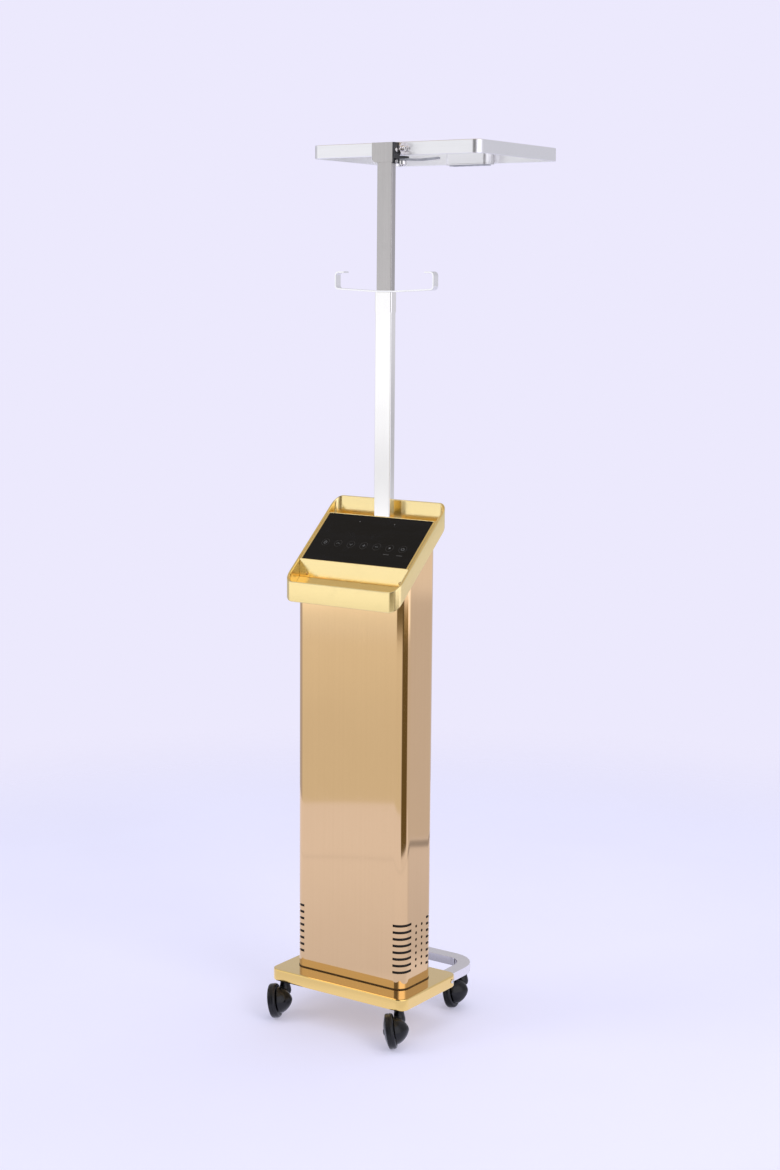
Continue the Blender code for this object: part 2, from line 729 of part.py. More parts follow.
def vent_boxes():
    """The slots that wrap the column's four corners."""
    found = []
    half_width = COLUMN_WIDTH / 2
    half_depth = COLUMN_DEPTH / 2
    past = COLUMN_CORNER
    for row in range(VENT_ROWS):
        middle = BASE_TOP + VENT_FIRST + row * VENT_PITCH
        low_z = middle - VENT_HEIGHT / 2
        high_z = middle + VENT_HEIGHT / 2
        for side in (-1, 1):
            xs = sorted((side * (half_width - VENT_ON_FACE), side * (half_width + past)))
            found.append(
                ((xs[0], -half_depth - past, low_z), (xs[1], -half_depth + VENT_ON_SIDE_FRONT, high_z))
            )
            found.append(
                ((xs[0], half_depth - VENT_ON_SIDE_REAR, low_z), (xs[1], half_depth + past, high_z))
            )
    return found


def make_column():
    """The column's shell: one rounded tube, cut to the console's slope and vented near the floor."""
    half_width = COLUMN_WIDTH / 2
    half_depth = COLUMN_DEPTH / 2
    top = CONSOLE_FOOT + CONSOLE_DEPTH * SLOPE_RISE
    shell = wall_band(
        "column_shell",
        (-half_width, -half_depth, BASE_TOP + GAP),
        (half_width, half_depth, top),
        COLUMN_CORNER,
        COLUMN_WALL,
        SATIN_GOLD,
        ROOT,
    )
    slope = lean(box("slope_cut", (-BASE_WIDTH, -CONSOLE_DEPTH, -GAP), (BASE_WIDTH, 2 * CONSOLE_DEPTH, top)))
    cut(shell, tool("slope_cut", slope, CONSOLE))
    cut(shell, tool("vents", boxes("vents", vent_boxes()), ROOT))
    ports = []
    for row in range(PORT_ROWS):
        for y in PORT_COLUMNS:
            ports.append((0, y, BASE_TOP + PORT_FIRST + row * PORT_PITCH))
    port_mesh = cylinders("ports", ports, PORT_RADIUS, 2 * COLUMN_WIDTH, "X", 8)
    cut(shell, tool("ports", port_mesh, ROOT))
    socket_half = POLE_WIDTH / 2 + SOCKET_WALL + 2 * GAP
    depth = COLUMN_CORNER
    openings = [
        (
            (-socket_half, half_depth - depth, socket_low() - GAP),
            (socket_half, half_depth + depth, top),
        ),
        opening_for(INLET_X, INLET_BODY_WIDTH, INLET_BODY_HEIGHT, half_depth, depth),
        opening_for(SWITCH_X, switch_body_width(), switch_body_height(), half_depth, depth),
    ]
    cut(shell, tool("back_openings", boxes("back_openings", openings), ROOT))


def opening_for(x, width, height, face, depth):
    """The hole in the column's back that a fitting's body goes through."""
    middle = BASE_TOP + INLET_LEVEL
    low = (x - width / 2 - GAP, face - depth, middle - height / 2 - GAP)
    high = (x + width / 2 + GAP, face + depth, middle + height / 2 + GAP)
    return low, high


def switch_body_width():
    """Width of the switch's body behind its bezel."""
    return SWITCH_WIDTH - 2 * SWITCH_WALL


def switch_body_height():
    """Height of the switch's body behind its bezel."""
    return SWITCH_HEIGHT - 2 * SWITCH_WALL


def make_foot_frame():
    """The angle frame that holds the column to the base plate."""
    inset = COLUMN_WALL + GAP
    half_width = COLUMN_WIDTH / 2 - inset
    half_depth = COLUMN_DEPTH / 2 - inset
    low = BASE_TOP + GAP
    frame = put(
        "foot_frame",
        rounded_block(
            "foot_frame",
            (-half_width, -half_depth, low),
            (half_width, half_depth, low + FOOT_FRAME_HEIGHT),
            COLUMN_CORNER - inset,
        ),
        DARK_STEEL,
        ROOT,
    )
    wall = FOOT_FRAME_WALL
    upper = rounded_block(
        "foot_frame_room",
        (wall - half_width, wall - half_depth, low + wall),
        (half_width - wall, half_depth - wall, low + 2 * FOOT_FRAME_HEIGHT),
        COLUMN_CORNER - inset - wall,
    )
    width = FOOT_FRAME_WIDTH
    middle = box(
        "foot_frame_middle",
        (width - half_width, width - half_depth, low - wall),
        (half_width - width, half_depth - width, low + 2 * wall),
    )
    cut(frame, tool("foot_frame_room", upper, ROOT))
    cut(frame, tool("foot_frame_middle", middle, ROOT))


def make_transformer():
    """The mains transformer that stands on the base plate, with its winding and its cradle."""
    floor = BASE_TOP + CORE_LIFT
    half = CORE_WIDTH / 2
    core = put(
        "transformer_core",
        box(
            "transformer_core",
            (-half, -CORE_DEPTH / 2, floor),
            (half, CORE_DEPTH / 2, floor + CORE_HEIGHT),
        ),
        CORE_IRON,
        ROOT,
    )
    windows = []
    for side in (-1, 1):
        xs = sorted((side * CORE_LEG / 2, side * (half - CORE_YOKE)))
        low = (xs[0], -CORE_DEPTH, floor + CORE_YOKE)
        windows.append((low, (xs[1], CORE_DEPTH, floor + CORE_HEIGHT - CORE_YOKE)))
    cut(core, tool("core_windows", boxes("core_windows", windows), ROOT))
    reach = half - CORE_YOKE - GAP
    winding = put(
        "transformer_winding",
        rounded_block(
            "transformer_winding",
            (-reach, -WINDING_DEPTH / 2, floor + CORE_YOKE + GAP),
            (reach, WINDING_DEPTH / 2, floor + CORE_HEIGHT - CORE_YOKE - GAP),
            0.2 * CORE_LEG,
        ),
        COPPER_TAPE,
        ROOT,
    )
    leg = box(
        "core_leg",
        (-CORE_LEG / 2 - GAP, -CORE_DEPTH / 2 - GAP, floor),
        (CORE_LEG / 2 + GAP, CORE_DEPTH / 2 + GAP, floor + CORE_HEIGHT),
    )
    cut(winding, tool("core_leg", leg, ROOT))
    cradle = box(
        "transformer_cradle",
        (-half, -CORE_DEPTH / 2, BASE_TOP + GAP),
        (half, CORE_DEPTH / 2, floor - GAP),
    )
    put("transformer_cradle", cradle, DARK_STEEL, ROOT)


def make_power_boards():
    """The heat sink and the power board, both fixed inside the column's back wall."""
    wall = COLUMN_REAR - COLUMN_WALL - GAP
    sink_low = BASE_TOP + SINK_LEVEL
    back = (
        (-SINK_WIDTH / 2, wall - SINK_BACK, sink_low),
        (SINK_WIDTH / 2, wall, sink_low + SINK_HEIGHT),
    )
    sink = put("heat_sink", box("heat_sink", *back), PALE_ALUMINIUM, ROOT)
    fins = []
    for step in range(SINK_FINS):
        x = -SINK_WIDTH / 2 + SINK_FIN + (SINK_WIDTH - 3 * SINK_FIN) * step / (SINK_FINS - 1)
        low = (x, wall - SINK_BACK - SINK_FIN_REACH, sink_low)
        fins.append((low, (x + SINK_FIN, wall - SINK_BACK / 2, sink_low + SINK_HEIGHT)))
    unite(sink, tool("sink_fins", boxes("sink_fins", fins), ROOT))
    board_low = BASE_TOP + BOARD_LEVEL
    board_face = wall - BRACKET_WALL - STANDOFF_LENGTH - GAP
    half = BOARD_WIDTH / 2
    put(
        "power_board",
        box(
            "power_board",
            (-half, board_face - BOARD_THICKNESS, board_low),
            (half, board_face, board_low + BOARD_HEIGHT),
        ),
        CIRCUIT_GREEN,
        ROOT,
    )
    bracket = put(
        "board_bracket",
        box(
            "board_bracket",
            (-half, wall - BRACKET_WALL, board_low),
            (half, wall, board_low + BOARD_HEIGHT),
        ),
        DARK_STEEL,
        ROOT,
    )
    posts = []
    for side in (-1, 1):
        for level in (STANDOFF_INSET, BOARD_HEIGHT - STANDOFF_INSET):
            x = side * (half - STANDOFF_INSET)
            posts.append((x, board_face + GAP + (STANDOFF_LENGTH + BRACKET_WALL / 2) / 2, board_low + level))
    post_length = STANDOFF_LENGTH + BRACKET_WALL / 2
    post_mesh = cylinders("board_standoffs", posts, STANDOFF_RADIUS, post_length, "Y")
    unite(bracket, tool("board_standoffs", post_mesh, ROOT))


def make_back_fittings():
    """The mains inlet and the rocker switch on the column's back."""
    face = COLUMN_REAR + GAP
    middle = BASE_TOP + INLET_LEVEL
    flange = (
        (INLET_X - INLET_FLANGE_WIDTH / 2, face, middle - INLET_FLANGE_HEIGHT / 2),
        (INLET_X + INLET_FLANGE_WIDTH / 2, face + INLET_FLANGE, middle + INLET_FLANGE_HEIGHT / 2),
    )
    inlet = put("mains_inlet", box("mains_inlet", *flange), BLACK_PLASTIC, ROOT)
    half_width = INLET_BODY_WIDTH / 2
    half_height = INLET_BODY_HEIGHT / 2
    body = box(
        "inlet_body",
        (INLET_X - half_width, face - INLET_BODY_DEPTH, middle - half_height),
        (INLET_X + half_width, face + INLET_FLANGE / 2, middle + half_height),
    )
    wall = INLET_MOUTH_WALL
    mouth = box(
        "inlet_mouth",
        (INLET_X - half_width + wall, face - INLET_MOUTH_DEPTH, middle - half_height + wall),
        (INLET_X + half_width - wall, face + 2 * INLET_FLANGE, middle + half_height - wall),
    )
    unite(inlet, tool("inlet_body", body, ROOT))
    cut(inlet, tool("inlet_mouth", mouth, ROOT))
    bezel = put(
        "switch_bezel",
        box(
            "switch_bezel",
            (SWITCH_X - SWITCH_WIDTH / 2, face, middle - SWITCH_HEIGHT / 2),
            (SWITCH_X + SWITCH_WIDTH / 2, face + SWITCH_BEZEL, middle + SWITCH_HEIGHT / 2),
        ),
        BLACK_PLASTIC,
        ROOT,
    )
    width = switch_body_width()
    height = switch_body_height()
    switch_body = box(
        "switch_body",
        (SWITCH_X - width / 2, face - SWITCH_BODY_DEPTH, middle - height / 2),
        (SWITCH_X + width / 2, face + SWITCH_BEZEL / 2, middle + height / 2),
    )
    rocker_width = width - 2 * SWITCH_WALL
    rocker_height = height - 2 * SWITCH_WALL
    well = box(
        "switch_well",
        (SWITCH_X - rocker_width / 2, face + SWITCH_WALL - SWITCH_BODY_DEPTH, middle - rocker_height / 2),
        (SWITCH_X + rocker_width / 2, face + 2 * SWITCH_BEZEL, middle + rocker_height / 2),
    )
    unite(bezel, tool("switch_body", switch_body, ROOT))
    cut(bezel, tool("switch_well", well, ROOT))
    axis_y = face + SWITCH_BEZEL + ROCKER_PROUD - ROCKER_RADIUS
    rocker_frame = empty("rocker_pivot", ROOT, (SWITCH_X, axis_y, middle), (0, 0, ROCKER_THROW))
    half_turn = math.asin((rocker_width / 2 - RUN) / ROCKER_RADIUS) - ROCKER_THROW
    outline = arc((0, 0), ROCKER_RADIUS, 90 - math.degrees(half_turn), 90 + math.degrees(half_turn))
    outline.append((0, -ROCKER_PIN_RADIUS / 2))
    rocker_mesh = plate("rocker_button", outline, rocker_height - 2 * RUN)
    rocker = put("rocker_button", rocker_mesh, BLACK_PLASTIC, rocker_frame)
    pin = cylinder("rocker_pin", (0, 0, 0), ROCKER_PIN_RADIUS, rocker_height - 2 * GAP)
    unite(rocker, tool("rocker_pin", pin, rocker_frame))


def deck_width():
    """Width of the deck between the console's side walls."""
    return CONSOLE_WIDTH - 2 * (CONSOLE_WALL + GAP)


def make_console():
    """The sloped tray on the column: its rim, floor, deck, glass and the board under the glass."""
    half = CONSOLE_WIDTH / 2
    rim = wall_band(
        "console_rim",
        (-half, 0, 0),
        (half, CONSOLE_DEPTH, CONSOLE_WALL_HEIGHT),
        CONSOLE_CORNER,
        CONSOLE_WALL,
        BRIGHT_GOLD,
        CONSOLE,
    )
    lean(rim.data)
    round_edges(rim, CONSOLE_EDGE)
    inset = CONSOLE_WALL + GAP
    inner = half - inset
    floor = put(
        "console_floor",
        lean(
            rounded_block(
                "console_floor",
                (-inner, inset, 0),
                (inner, CONSOLE_DEPTH - inset, FLOOR_THICKNESS),
                CONSOLE_CORNER - CONSOLE_WALL,
            )
        ),
        BRIGHT_GOLD,
        CONSOLE,
    )
    pole_half = POLE_WIDTH / 2 + GAP
    pole_low = to_console(POLE_FRONT) - GAP
    openings = [
        ((-pole_half, pole_low, -1), (pole_half, pole_low + POLE_DEPTH + 2 * GAP, 1)),
        (
            (-WIRE_OPENING / 2, to_console(-WIRE_OPENING / 4), -1),
            (WIRE_OPENING / 2, to_console(WIRE_OPENING / 4), 1),
        ),
    ]
    cut(floor, tool("floor_openings", boxes("floor_openings", openings), CONSOLE))
    deck_low = FLOOR_THICKNESS + GAP
    deck_high = CONSOLE_WALL_HEIGHT - DECK_DROP
    front = to_console(-DECK_FRONT)
    rear = to_console(DECK_REAR)
    across = deck_width() / 2
    deck = put(
        "panel_deck",
        lean(box("panel_deck", (-across, front, deck_low), (across, rear, deck_high))),
        BRIGHT_GOLD,
        CONSOLE,
    )
    room = box(
        "deck_room",
        (-half, front + DECK_LEG, deck_low - DECK_TOP),
        (half, rear - DECK_LEG, deck_high - DECK_TOP),
    )
    cut(deck, tool("deck_room", lean(room), CONSOLE))
    glass_half = GLASS_WIDTH / 2
    glass_front = front + GLASS_MARGIN + GAP
    glass_rear = rear - GLASS_MARGIN - GAP
    seat = deck_high - GLASS_THICKNESS - GAP
    recess = box(
        "glass_recess",
        (-glass_half - GAP, front + GLASS_MARGIN, seat),
        (glass_half + GAP, rear - GLASS_MARGIN, 2 * CONSOLE_WALL_HEIGHT),
    )
    cut(deck, tool("glass_recess", lean(recess), CONSOLE))
    board_half = glass_half - BOARD_MARGIN
    board_front = glass_front + BOARD_MARGIN
    board_rear = glass_rear - BOARD_MARGIN
    window = box(
        "board_window",
        (-board_half - GAP, board_front - GAP, deck_low),
        (board_half + GAP, board_rear + GAP, 2 * CONSOLE_WALL_HEIGHT),
    )
    cut(deck, tool("board_window", lean(window), CONSOLE))
    glass = box("touch_glass", (-glass_half, glass_front, seat + GAP), (glass_half, glass_rear, deck_high))
    put("touch_glass", lean(glass), BLACK_GLASS, CONSOLE)
    board = box(
        "touch_board",
        (-board_half, board_front, seat - TOUCH_BOARD),
        (board_half, board_rear, seat),
    )
    put("touch_board", lean(board), CIRCUIT_GREEN, CONSOLE)
    screw_y = front - GAP - DECK_SCREW_HEAD / 2
    screw_z = screw_y * SLOPE_RISE + FLOOR_THICKNESS + DECK_SCREW_LEVEL
    for side, word in ((-1, "left"), (1, "right")):
        name = "deck_screw_" + word
        place = (side * DECK_SCREW_X, screw_y, screw_z)
        put(name, cylinder(name, place, DECK_SCREW_RADIUS, DECK_SCREW_HEAD, "Y"), BRIGHT_GOLD, CONSOLE)


def socket_top():
    """Top of the pole's socket, just under the console's floor."""
    front = to_console(POLE_FRONT - GAP - SOCKET_WALL)
    return CONSOLE_FOOT + front * SLOPE_RISE - GAP


def socket_low():
    """Underside of the pole's socket."""
    return socket_top() - SOCKET_LENGTH


def make_pole_socket():
    """The socket in the column's back wall that the mast stands in, and the screws of its flange."""
    top = socket_top()
    low = socket_low()
    half = POLE_WIDTH / 2 + GAP + SOCKET_WALL
    front = POLE_FRONT - GAP - SOCKET_WALL
    rear = POLE_FRONT + POLE_DEPTH + GAP + SOCKET_WALL
    flange_rear = COLUMN_REAR - COLUMN_WALL - GAP
    socket = put(
        "pole_socket",
        box("pole_socket", (-half, front, low), (half, rear, top)),
        DARK_STEEL,
        ROOT,
    )
    flange_half = SOCKET_FLANGE_WIDTH / 2
    flange = box(
        "socket_flange",
        (-flange_half, flange_rear - SOCKET_FLANGE, low),
        (flange_half, flange_rear, top),
    )
    bore = box(
        "socket_bore",
        (-POLE_WIDTH / 2 - GAP, POLE_FRONT - GAP, low + SOCKET_BOTTOM),
        (POLE_WIDTH / 2 + GAP, POLE_FRONT + POLE_DEPTH + GAP, top + SOCKET_LENGTH),
    )
    unite(socket, tool("socket_flange", flange, ROOT))
    cut(socket, tool("socket_bore", bore, ROOT))
    for side, word in ((-1, "left"), (1, "right")):
        name = "socket_screw_" + word
        x = side * (half + flange_half) / 2
        place = (x, COLUMN_REAR + GAP + SOCKET_SCREW_HEAD / 2, top - SOCKET_SCREW_INSET)
        put(name, cylinder(name, place, SOCKET_SCREW_RADIUS, SOCKET_SCREW_HEAD, "Y"), BRIGHT_SCREW, ROOT)


def make_lower_pole():
    """The fixed tube of the mast, the hook bar on its top and the knob that locks the upper tube."""
    low = socket_low() + SOCKET_BOTTOM + GAP
    half = POLE_WIDTH / 2
    tube = wall_band(
        "lower_pole",
        (-half, POLE_FRONT, low),
        (half, POLE_FRONT + POLE_DEPTH, POLE_JOINT),
        POLE_CORNER,
        POLE_WALL,
        BRUSHED_STEEL,
        ROOT,
    )
    lock_z = POLE_JOINT - LOCK_DROP
    rear = POLE_FRONT + POLE_DEPTH
    shank_hole = cylinder("lock_hole", (0, rear, lock_z), LOCK_SHANK_RADIUS + RUN, 2 * POLE_WALL + RUN, "Y")
    cut(tube, tool("lock_hole", shank_hole, ROOT))
    shank = POLE_WALL
    knob_section = (
        (0, LOCK_KNOB_LENGTH + shank + GAP),
        (0.8 * LOCK_KNOB_RADIUS, LOCK_KNOB_LENGTH + shank + GAP),
        (LOCK_KNOB_RADIUS, 0.8 * LOCK_KNOB_LENGTH + shank + GAP),
        (LOCK_KNOB_RADIUS, shank + GAP),
        (LOCK_SHANK_RADIUS, shank + GAP),
        (LOCK_SHANK_RADIUS, 0),
        (0, 0),
    )
    lock_frame = empty("lock_axis", ROOT, (0, rear - shank, lock_z), (-math.pi / 2, 0, 0))
    turned("pole_lock_knob", knob_section, BLACK_PLASTIC, lock_frame, steps=SMALL_STEPS)
    bar_outline = hook_outline()
    bar = plate("hook_bar", bar_outline, HOOK_DEPTH)
    bar.transform(Matrix.Rotation(math.pi / 2, 4, "X"))
    hook = put("hook_bar", bar, PALE_ALUMINIUM, ROOT, (0, POLE_Y, POLE_JOINT + GAP))
    slot_half = UPPER_WIDTH / 2 + GAP
    slot = box(
        "hook_slot",
        (-slot_half, -UPPER_DEPTH / 2 - GAP, -HOOK_LIFT),
        (slot_half, UPPER_DEPTH / 2 + GAP, HOOK_LIFT),
    )
    cut(hook, tool("hook_slot", slot, ROOT, (0, POLE_Y, POLE_JOINT)))


def hook_outline():
    """The hook bar seen from the front: a shallow V with both ends turned up and their lips turned in."""
    flat = POLE_WIDTH / 2 + HOOK_BEND
    end = HOOK_SPAN / 2
    inner = HOOK_BEND - HOOK_THICKNESS
    low = HOOK_RISE
    high = HOOK_RISE + HOOK_LIFT
    corner = (end - HOOK_BEND, low + HOOK_BEND)
    shoulder = (end - HOOK_BEND, high - HOOK_BEND)
    tip = end - HOOK_LIP
    right_outer = [(flat, 0)]
    right_outer += arc(corner, HOOK_BEND, -90, 0, 4)
    right_outer += arc(shoulder, HOOK_BEND, 0, 90, 4)
    right_outer += [(tip, high), (tip, high - HOOK_THICKNESS)]
    right_inner = arc(shoulder, inner, 90, 0, 4)
    right_inner += arc(corner, inner, 0, -90, 4)
    right_inner += [(flat, HOOK_THICKNESS)]
    right = right_outer + right_inner
    left = [(-x, z) for x, z in reversed(right)]
    return right + left


def make_upper_pole():
    """The sliding tube of the mast and the head on its top."""
    half = UPPER_WIDTH / 2
    top = BASE_TOP + UPPER_POLE_TOP - POLE_JOINT
    wall_band(
        "upper_pole",
        (-half, -UPPER_DEPTH / 2, -UPPER_POLE_OVERLAP),
        (half, UPPER_DEPTH / 2, top),
        POLE_CORNER,
        POLE_WALL,
        BRUSHED_STEEL,
        MAST,
    )
    head_high = BASE_TOP + HEAD_TOP - POLE_JOINT
    head_low = head_high - HEAD_HEIGHT
    front = -UPPER_DEPTH / 2 - HEAD_FRONT_WALL
    rear = UPPER_DEPTH / 2 + HEAD_REAR_WALL
    corner = (HEAD_CORNER - HEAD_LEFT, head_low + HEAD_CORNER)
    outline = [(HEAD_RIGHT, head_low), (HEAD_RIGHT, head_high), (-HEAD_LEFT, head_high)]
    outline += arc(corner, HEAD_CORNER, 180, 270)
    head_mesh = plate("pole_head", outline, rear - front)
    head_mesh.transform(Matrix.Rotation(math.pi / 2, 4, "X"))
    head = put("pole_head", head_mesh, BRUSHED_STEEL, MAST, (0, (front + rear) / 2, 0))
    socket = box(
        "head_socket",
        (-half - GAP, -UPPER_DEPTH / 2 - GAP, head_low - HEAD_HEIGHT),
        (half + GAP, UPPER_DEPTH / 2 + GAP, top + GAP),
    )
    arm_reach = PIVOT_Y - POLE_Y
    arm_outline = [(rear - GAP, ARM_RADIUS), (rear - GAP, -ARM_RADIUS)]
    arm_outline += arc((arm_reach, 0), ARM_RADIUS, -90, 90)
    arm = upright_plate("head_arm", arm_outline, ARM_WIDTH)
    arm_x = ARM_WIDTH / 2 - HEAD_LEFT
    pivot_level = PIVOT_Z - POLE_JOINT
    unite(head, tool("head_arm", arm, MAST, (arm_x, 0, pivot_level)))
    cut(head, tool("head_socket", socket, MAST))
    bore = cylinder("pivot_bore", (0, arm_reach, pivot_level), BOLT_RADIUS + GAP, RING_WIDTH, "X")
    bore_tool = tool("pivot_bore", bore, MAST)
    cut(head, bore_tool)
    return bore_tool, front, rear


def upright_plate(name, outline, width):
    """A flat outline drawn in Y and Z, as wide in X as stated."""
    mesh = plate(name, outline, width)
    mesh.transform(Matrix(((0, 0, 1, 0), (1, 0, 0, 0), (0, 1, 0, 0), (0, 0, 0, 1))))
    return mesh


def make_hinge(bore_tool, front, rear):
    """The plate that carries the ring's other side, its screws, the pivot bolt and the clamp lever."""
    pivot_level = PIVOT_Z - POLE_JOINT
    reach = PIVOT_Y - POLE_Y
    inner_x = HEAD_RIGHT + GAP
    outer_x = inner_x + PLATE_WIDTH
    step_y = rear + 0.001
    outline = [(front, PLATE_ABOVE_PIVOT), (front, -PLATE_BELOW_PIVOT), (step_y, -PLATE_BELOW_PIVOT)]
    outline += [(step_y, -ARM_RADIUS)]
    outline += arc((reach, 0), ARM_RADIUS, -90, 90)
    outline += [(step_y, ARM_RADIUS), (step_y, PLATE_ABOVE_PIVOT)]
    hinge_mesh = upright_plate("hinge_plate", outline, PLATE_WIDTH)
    place = ((inner_x + outer_x) / 2, 0, pivot_level)
    hinge = put("hinge_plate", hinge_mesh, DARK_STEEL, MAST, place)
    foot = box(
        "hinge_foot",
        (inner_x, front, pivot_level - FOOT_BELOW_PIVOT - PLATE_FOOT),
        (inner_x + PLATE_FOOT_REACH, rear, pivot_level - FOOT_BELOW_PIVOT),
    )
    unite(hinge, tool("hinge_foot", foot, MAST))
    cut(hinge, bore_tool)
    screw_y = front + HINGE_SCREW_BEHIND_FRONT
    screw_x = outer_x + GAP + HINGE_SCREW_HEAD / 2
    for drop, word in zip(HINGE_SCREW_DROPS, ("lower", "upper")):
        name = "hinge_screw_" + word
        place = (screw_x, screw_y, pivot_level - drop)
        put(name, cylinder(name, place, HINGE_SCREW_RADIUS, HINGE_SCREW_HEAD, "X"), BRIGHT_SCREW, MAST)
    ear_inner = outer_x + RUN
    ear_outer = ear_inner + EAR_WIDTH
    left_ear = HEAD_LEFT + RUN + EAR_WIDTH
    bolt_frame = (0, reach, pivot_level)
    bolt_section = (
        (0, ear_outer + RUN + BOLT_HEAD),
        (BOLT_HEAD_RADIUS, ear_outer + RUN + BOLT_HEAD),
        (BOLT_HEAD_RADIUS, ear_outer + RUN),
        (BOLT_RADIUS, ear_outer + RUN),
        (BOLT_RADIUS, -left_ear - NUT_RADIUS),
        (0, -left_ear - NUT_RADIUS),
    )
    turned("pivot_bolt", bolt_section, DARK_STEEL, MAST, bolt_frame, (0, math.pi / 2, 0), SMALL_STEPS)
    nut_width = NUT_RADIUS - RUN
    nut_x = -left_ear - RUN - nut_width / 2
    nut = put(
        "pivot_nut",
        cylinder("pivot_nut", (nut_x, reach, pivot_level), NUT_RADIUS, nut_width, "X", 6),
        BRIGHT_SCREW,
        MAST,
    )
    cut(nut, bore_tool)
    make_ring_ears(ear_inner, left_ear)
    foot_low = pivot_level - FOOT_BELOW_PIVOT - PLATE_FOOT
    make_lever(inner_x + PLATE_FOOT_REACH - LEVER_KNOB_RADIUS, (front + rear) / 2, foot_low)


def make_lever(x, y, foot_low):
    """The clamp lever under the hinge, on a pin through the plate's foot."""
    swing = empty("lever_pivot", MAST, (x, y, foot_low - GAP), (0, 0, LEVER_AZIMUTH))
    half = LEVER_WIDTH / 2
    thick = LEVER_THICKNESS
    spine = (
        (-half, 0),
        (LEVER_KNOB_RADIUS + 2 * RUN, 0),
        (0.6 * LEVER_GRIP_FROM, -0.7 * LEVER_DIP),
        (LEVER_GRIP_FROM, -LEVER_DIP),
        (LEVER_LENGTH, LEVER_TIP_RISE),
    )
    outline = [(x, z - thick) for x, z in spine] + [(x, z) for x, z in reversed(spine)]
    lever_mesh = plate("clamp_lever", outline, LEVER_WIDTH)
    lever_mesh.transform(Matrix.Rotation(math.pi / 2, 4, "X"))
    lever = put("clamp_lever", lever_mesh, DARK_STEEL, swing)
    round_edges(lever, 0.2 * thick)
    hole = tool("lever_hole", cylinder("lever_hole", (0, 0, 0), LEVER_PIN_RADIUS + RUN, 0.1), swing)
    cut(lever, hole)
    hinge = bpy.data.objects["hinge_plate"]
    cut(hinge, hole)
    pin_top = PLATE_FOOT + GAP
    knob_top = -LEVER_THICKNESS - GAP
    pin_section = (
        (0, pin_top),
        (LEVER_PIN_RADIUS, pin_top),
        (LEVER_PIN_RADIUS, knob_top),
        (LEVER_KNOB_RADIUS, knob_top),
        (LEVER_KNOB_RADIUS, knob_top - 0.7 * LEVER_KNOB),
        (0.6 * LEVER_KNOB_RADIUS, knob_top - LEVER_KNOB),
        (0, knob_top - LEVER_KNOB),
    )
    turned("lever_pin", pin_section, BRIGHT_SCREW, swing, steps=SMALL_STEPS)


def make_ring_ears(right_inner, left_outer):
    """The two ears on the ring's front that turn on the pivot bolt."""
    gap_to_bar = RING_FRONT - PIVOT_Y - GAP
    outline = [(gap_to_bar, EAR_RADIUS)] + arc((0, 0), EAR_RADIUS, 90, 270, 8) + [(gap_to_bar, -EAR_RADIUS)]
    hole = cylinder("ear_bore", (0, 0, 0), BOLT_RADIUS + RUN, RING_WIDTH, "X")
    bore = tool("ear_bore", hole, RING)
    for word, x in (("right", right_inner + EAR_WIDTH / 2), ("left", EAR_WIDTH / 2 - left_outer)):
        name = "ring_ear_" + word
        ear = put(name, upright_plate(name, outline, EAR_WIDTH), PALE_ALUMINIUM, RING, (x, 0, 0))
        cut(ear, bore)


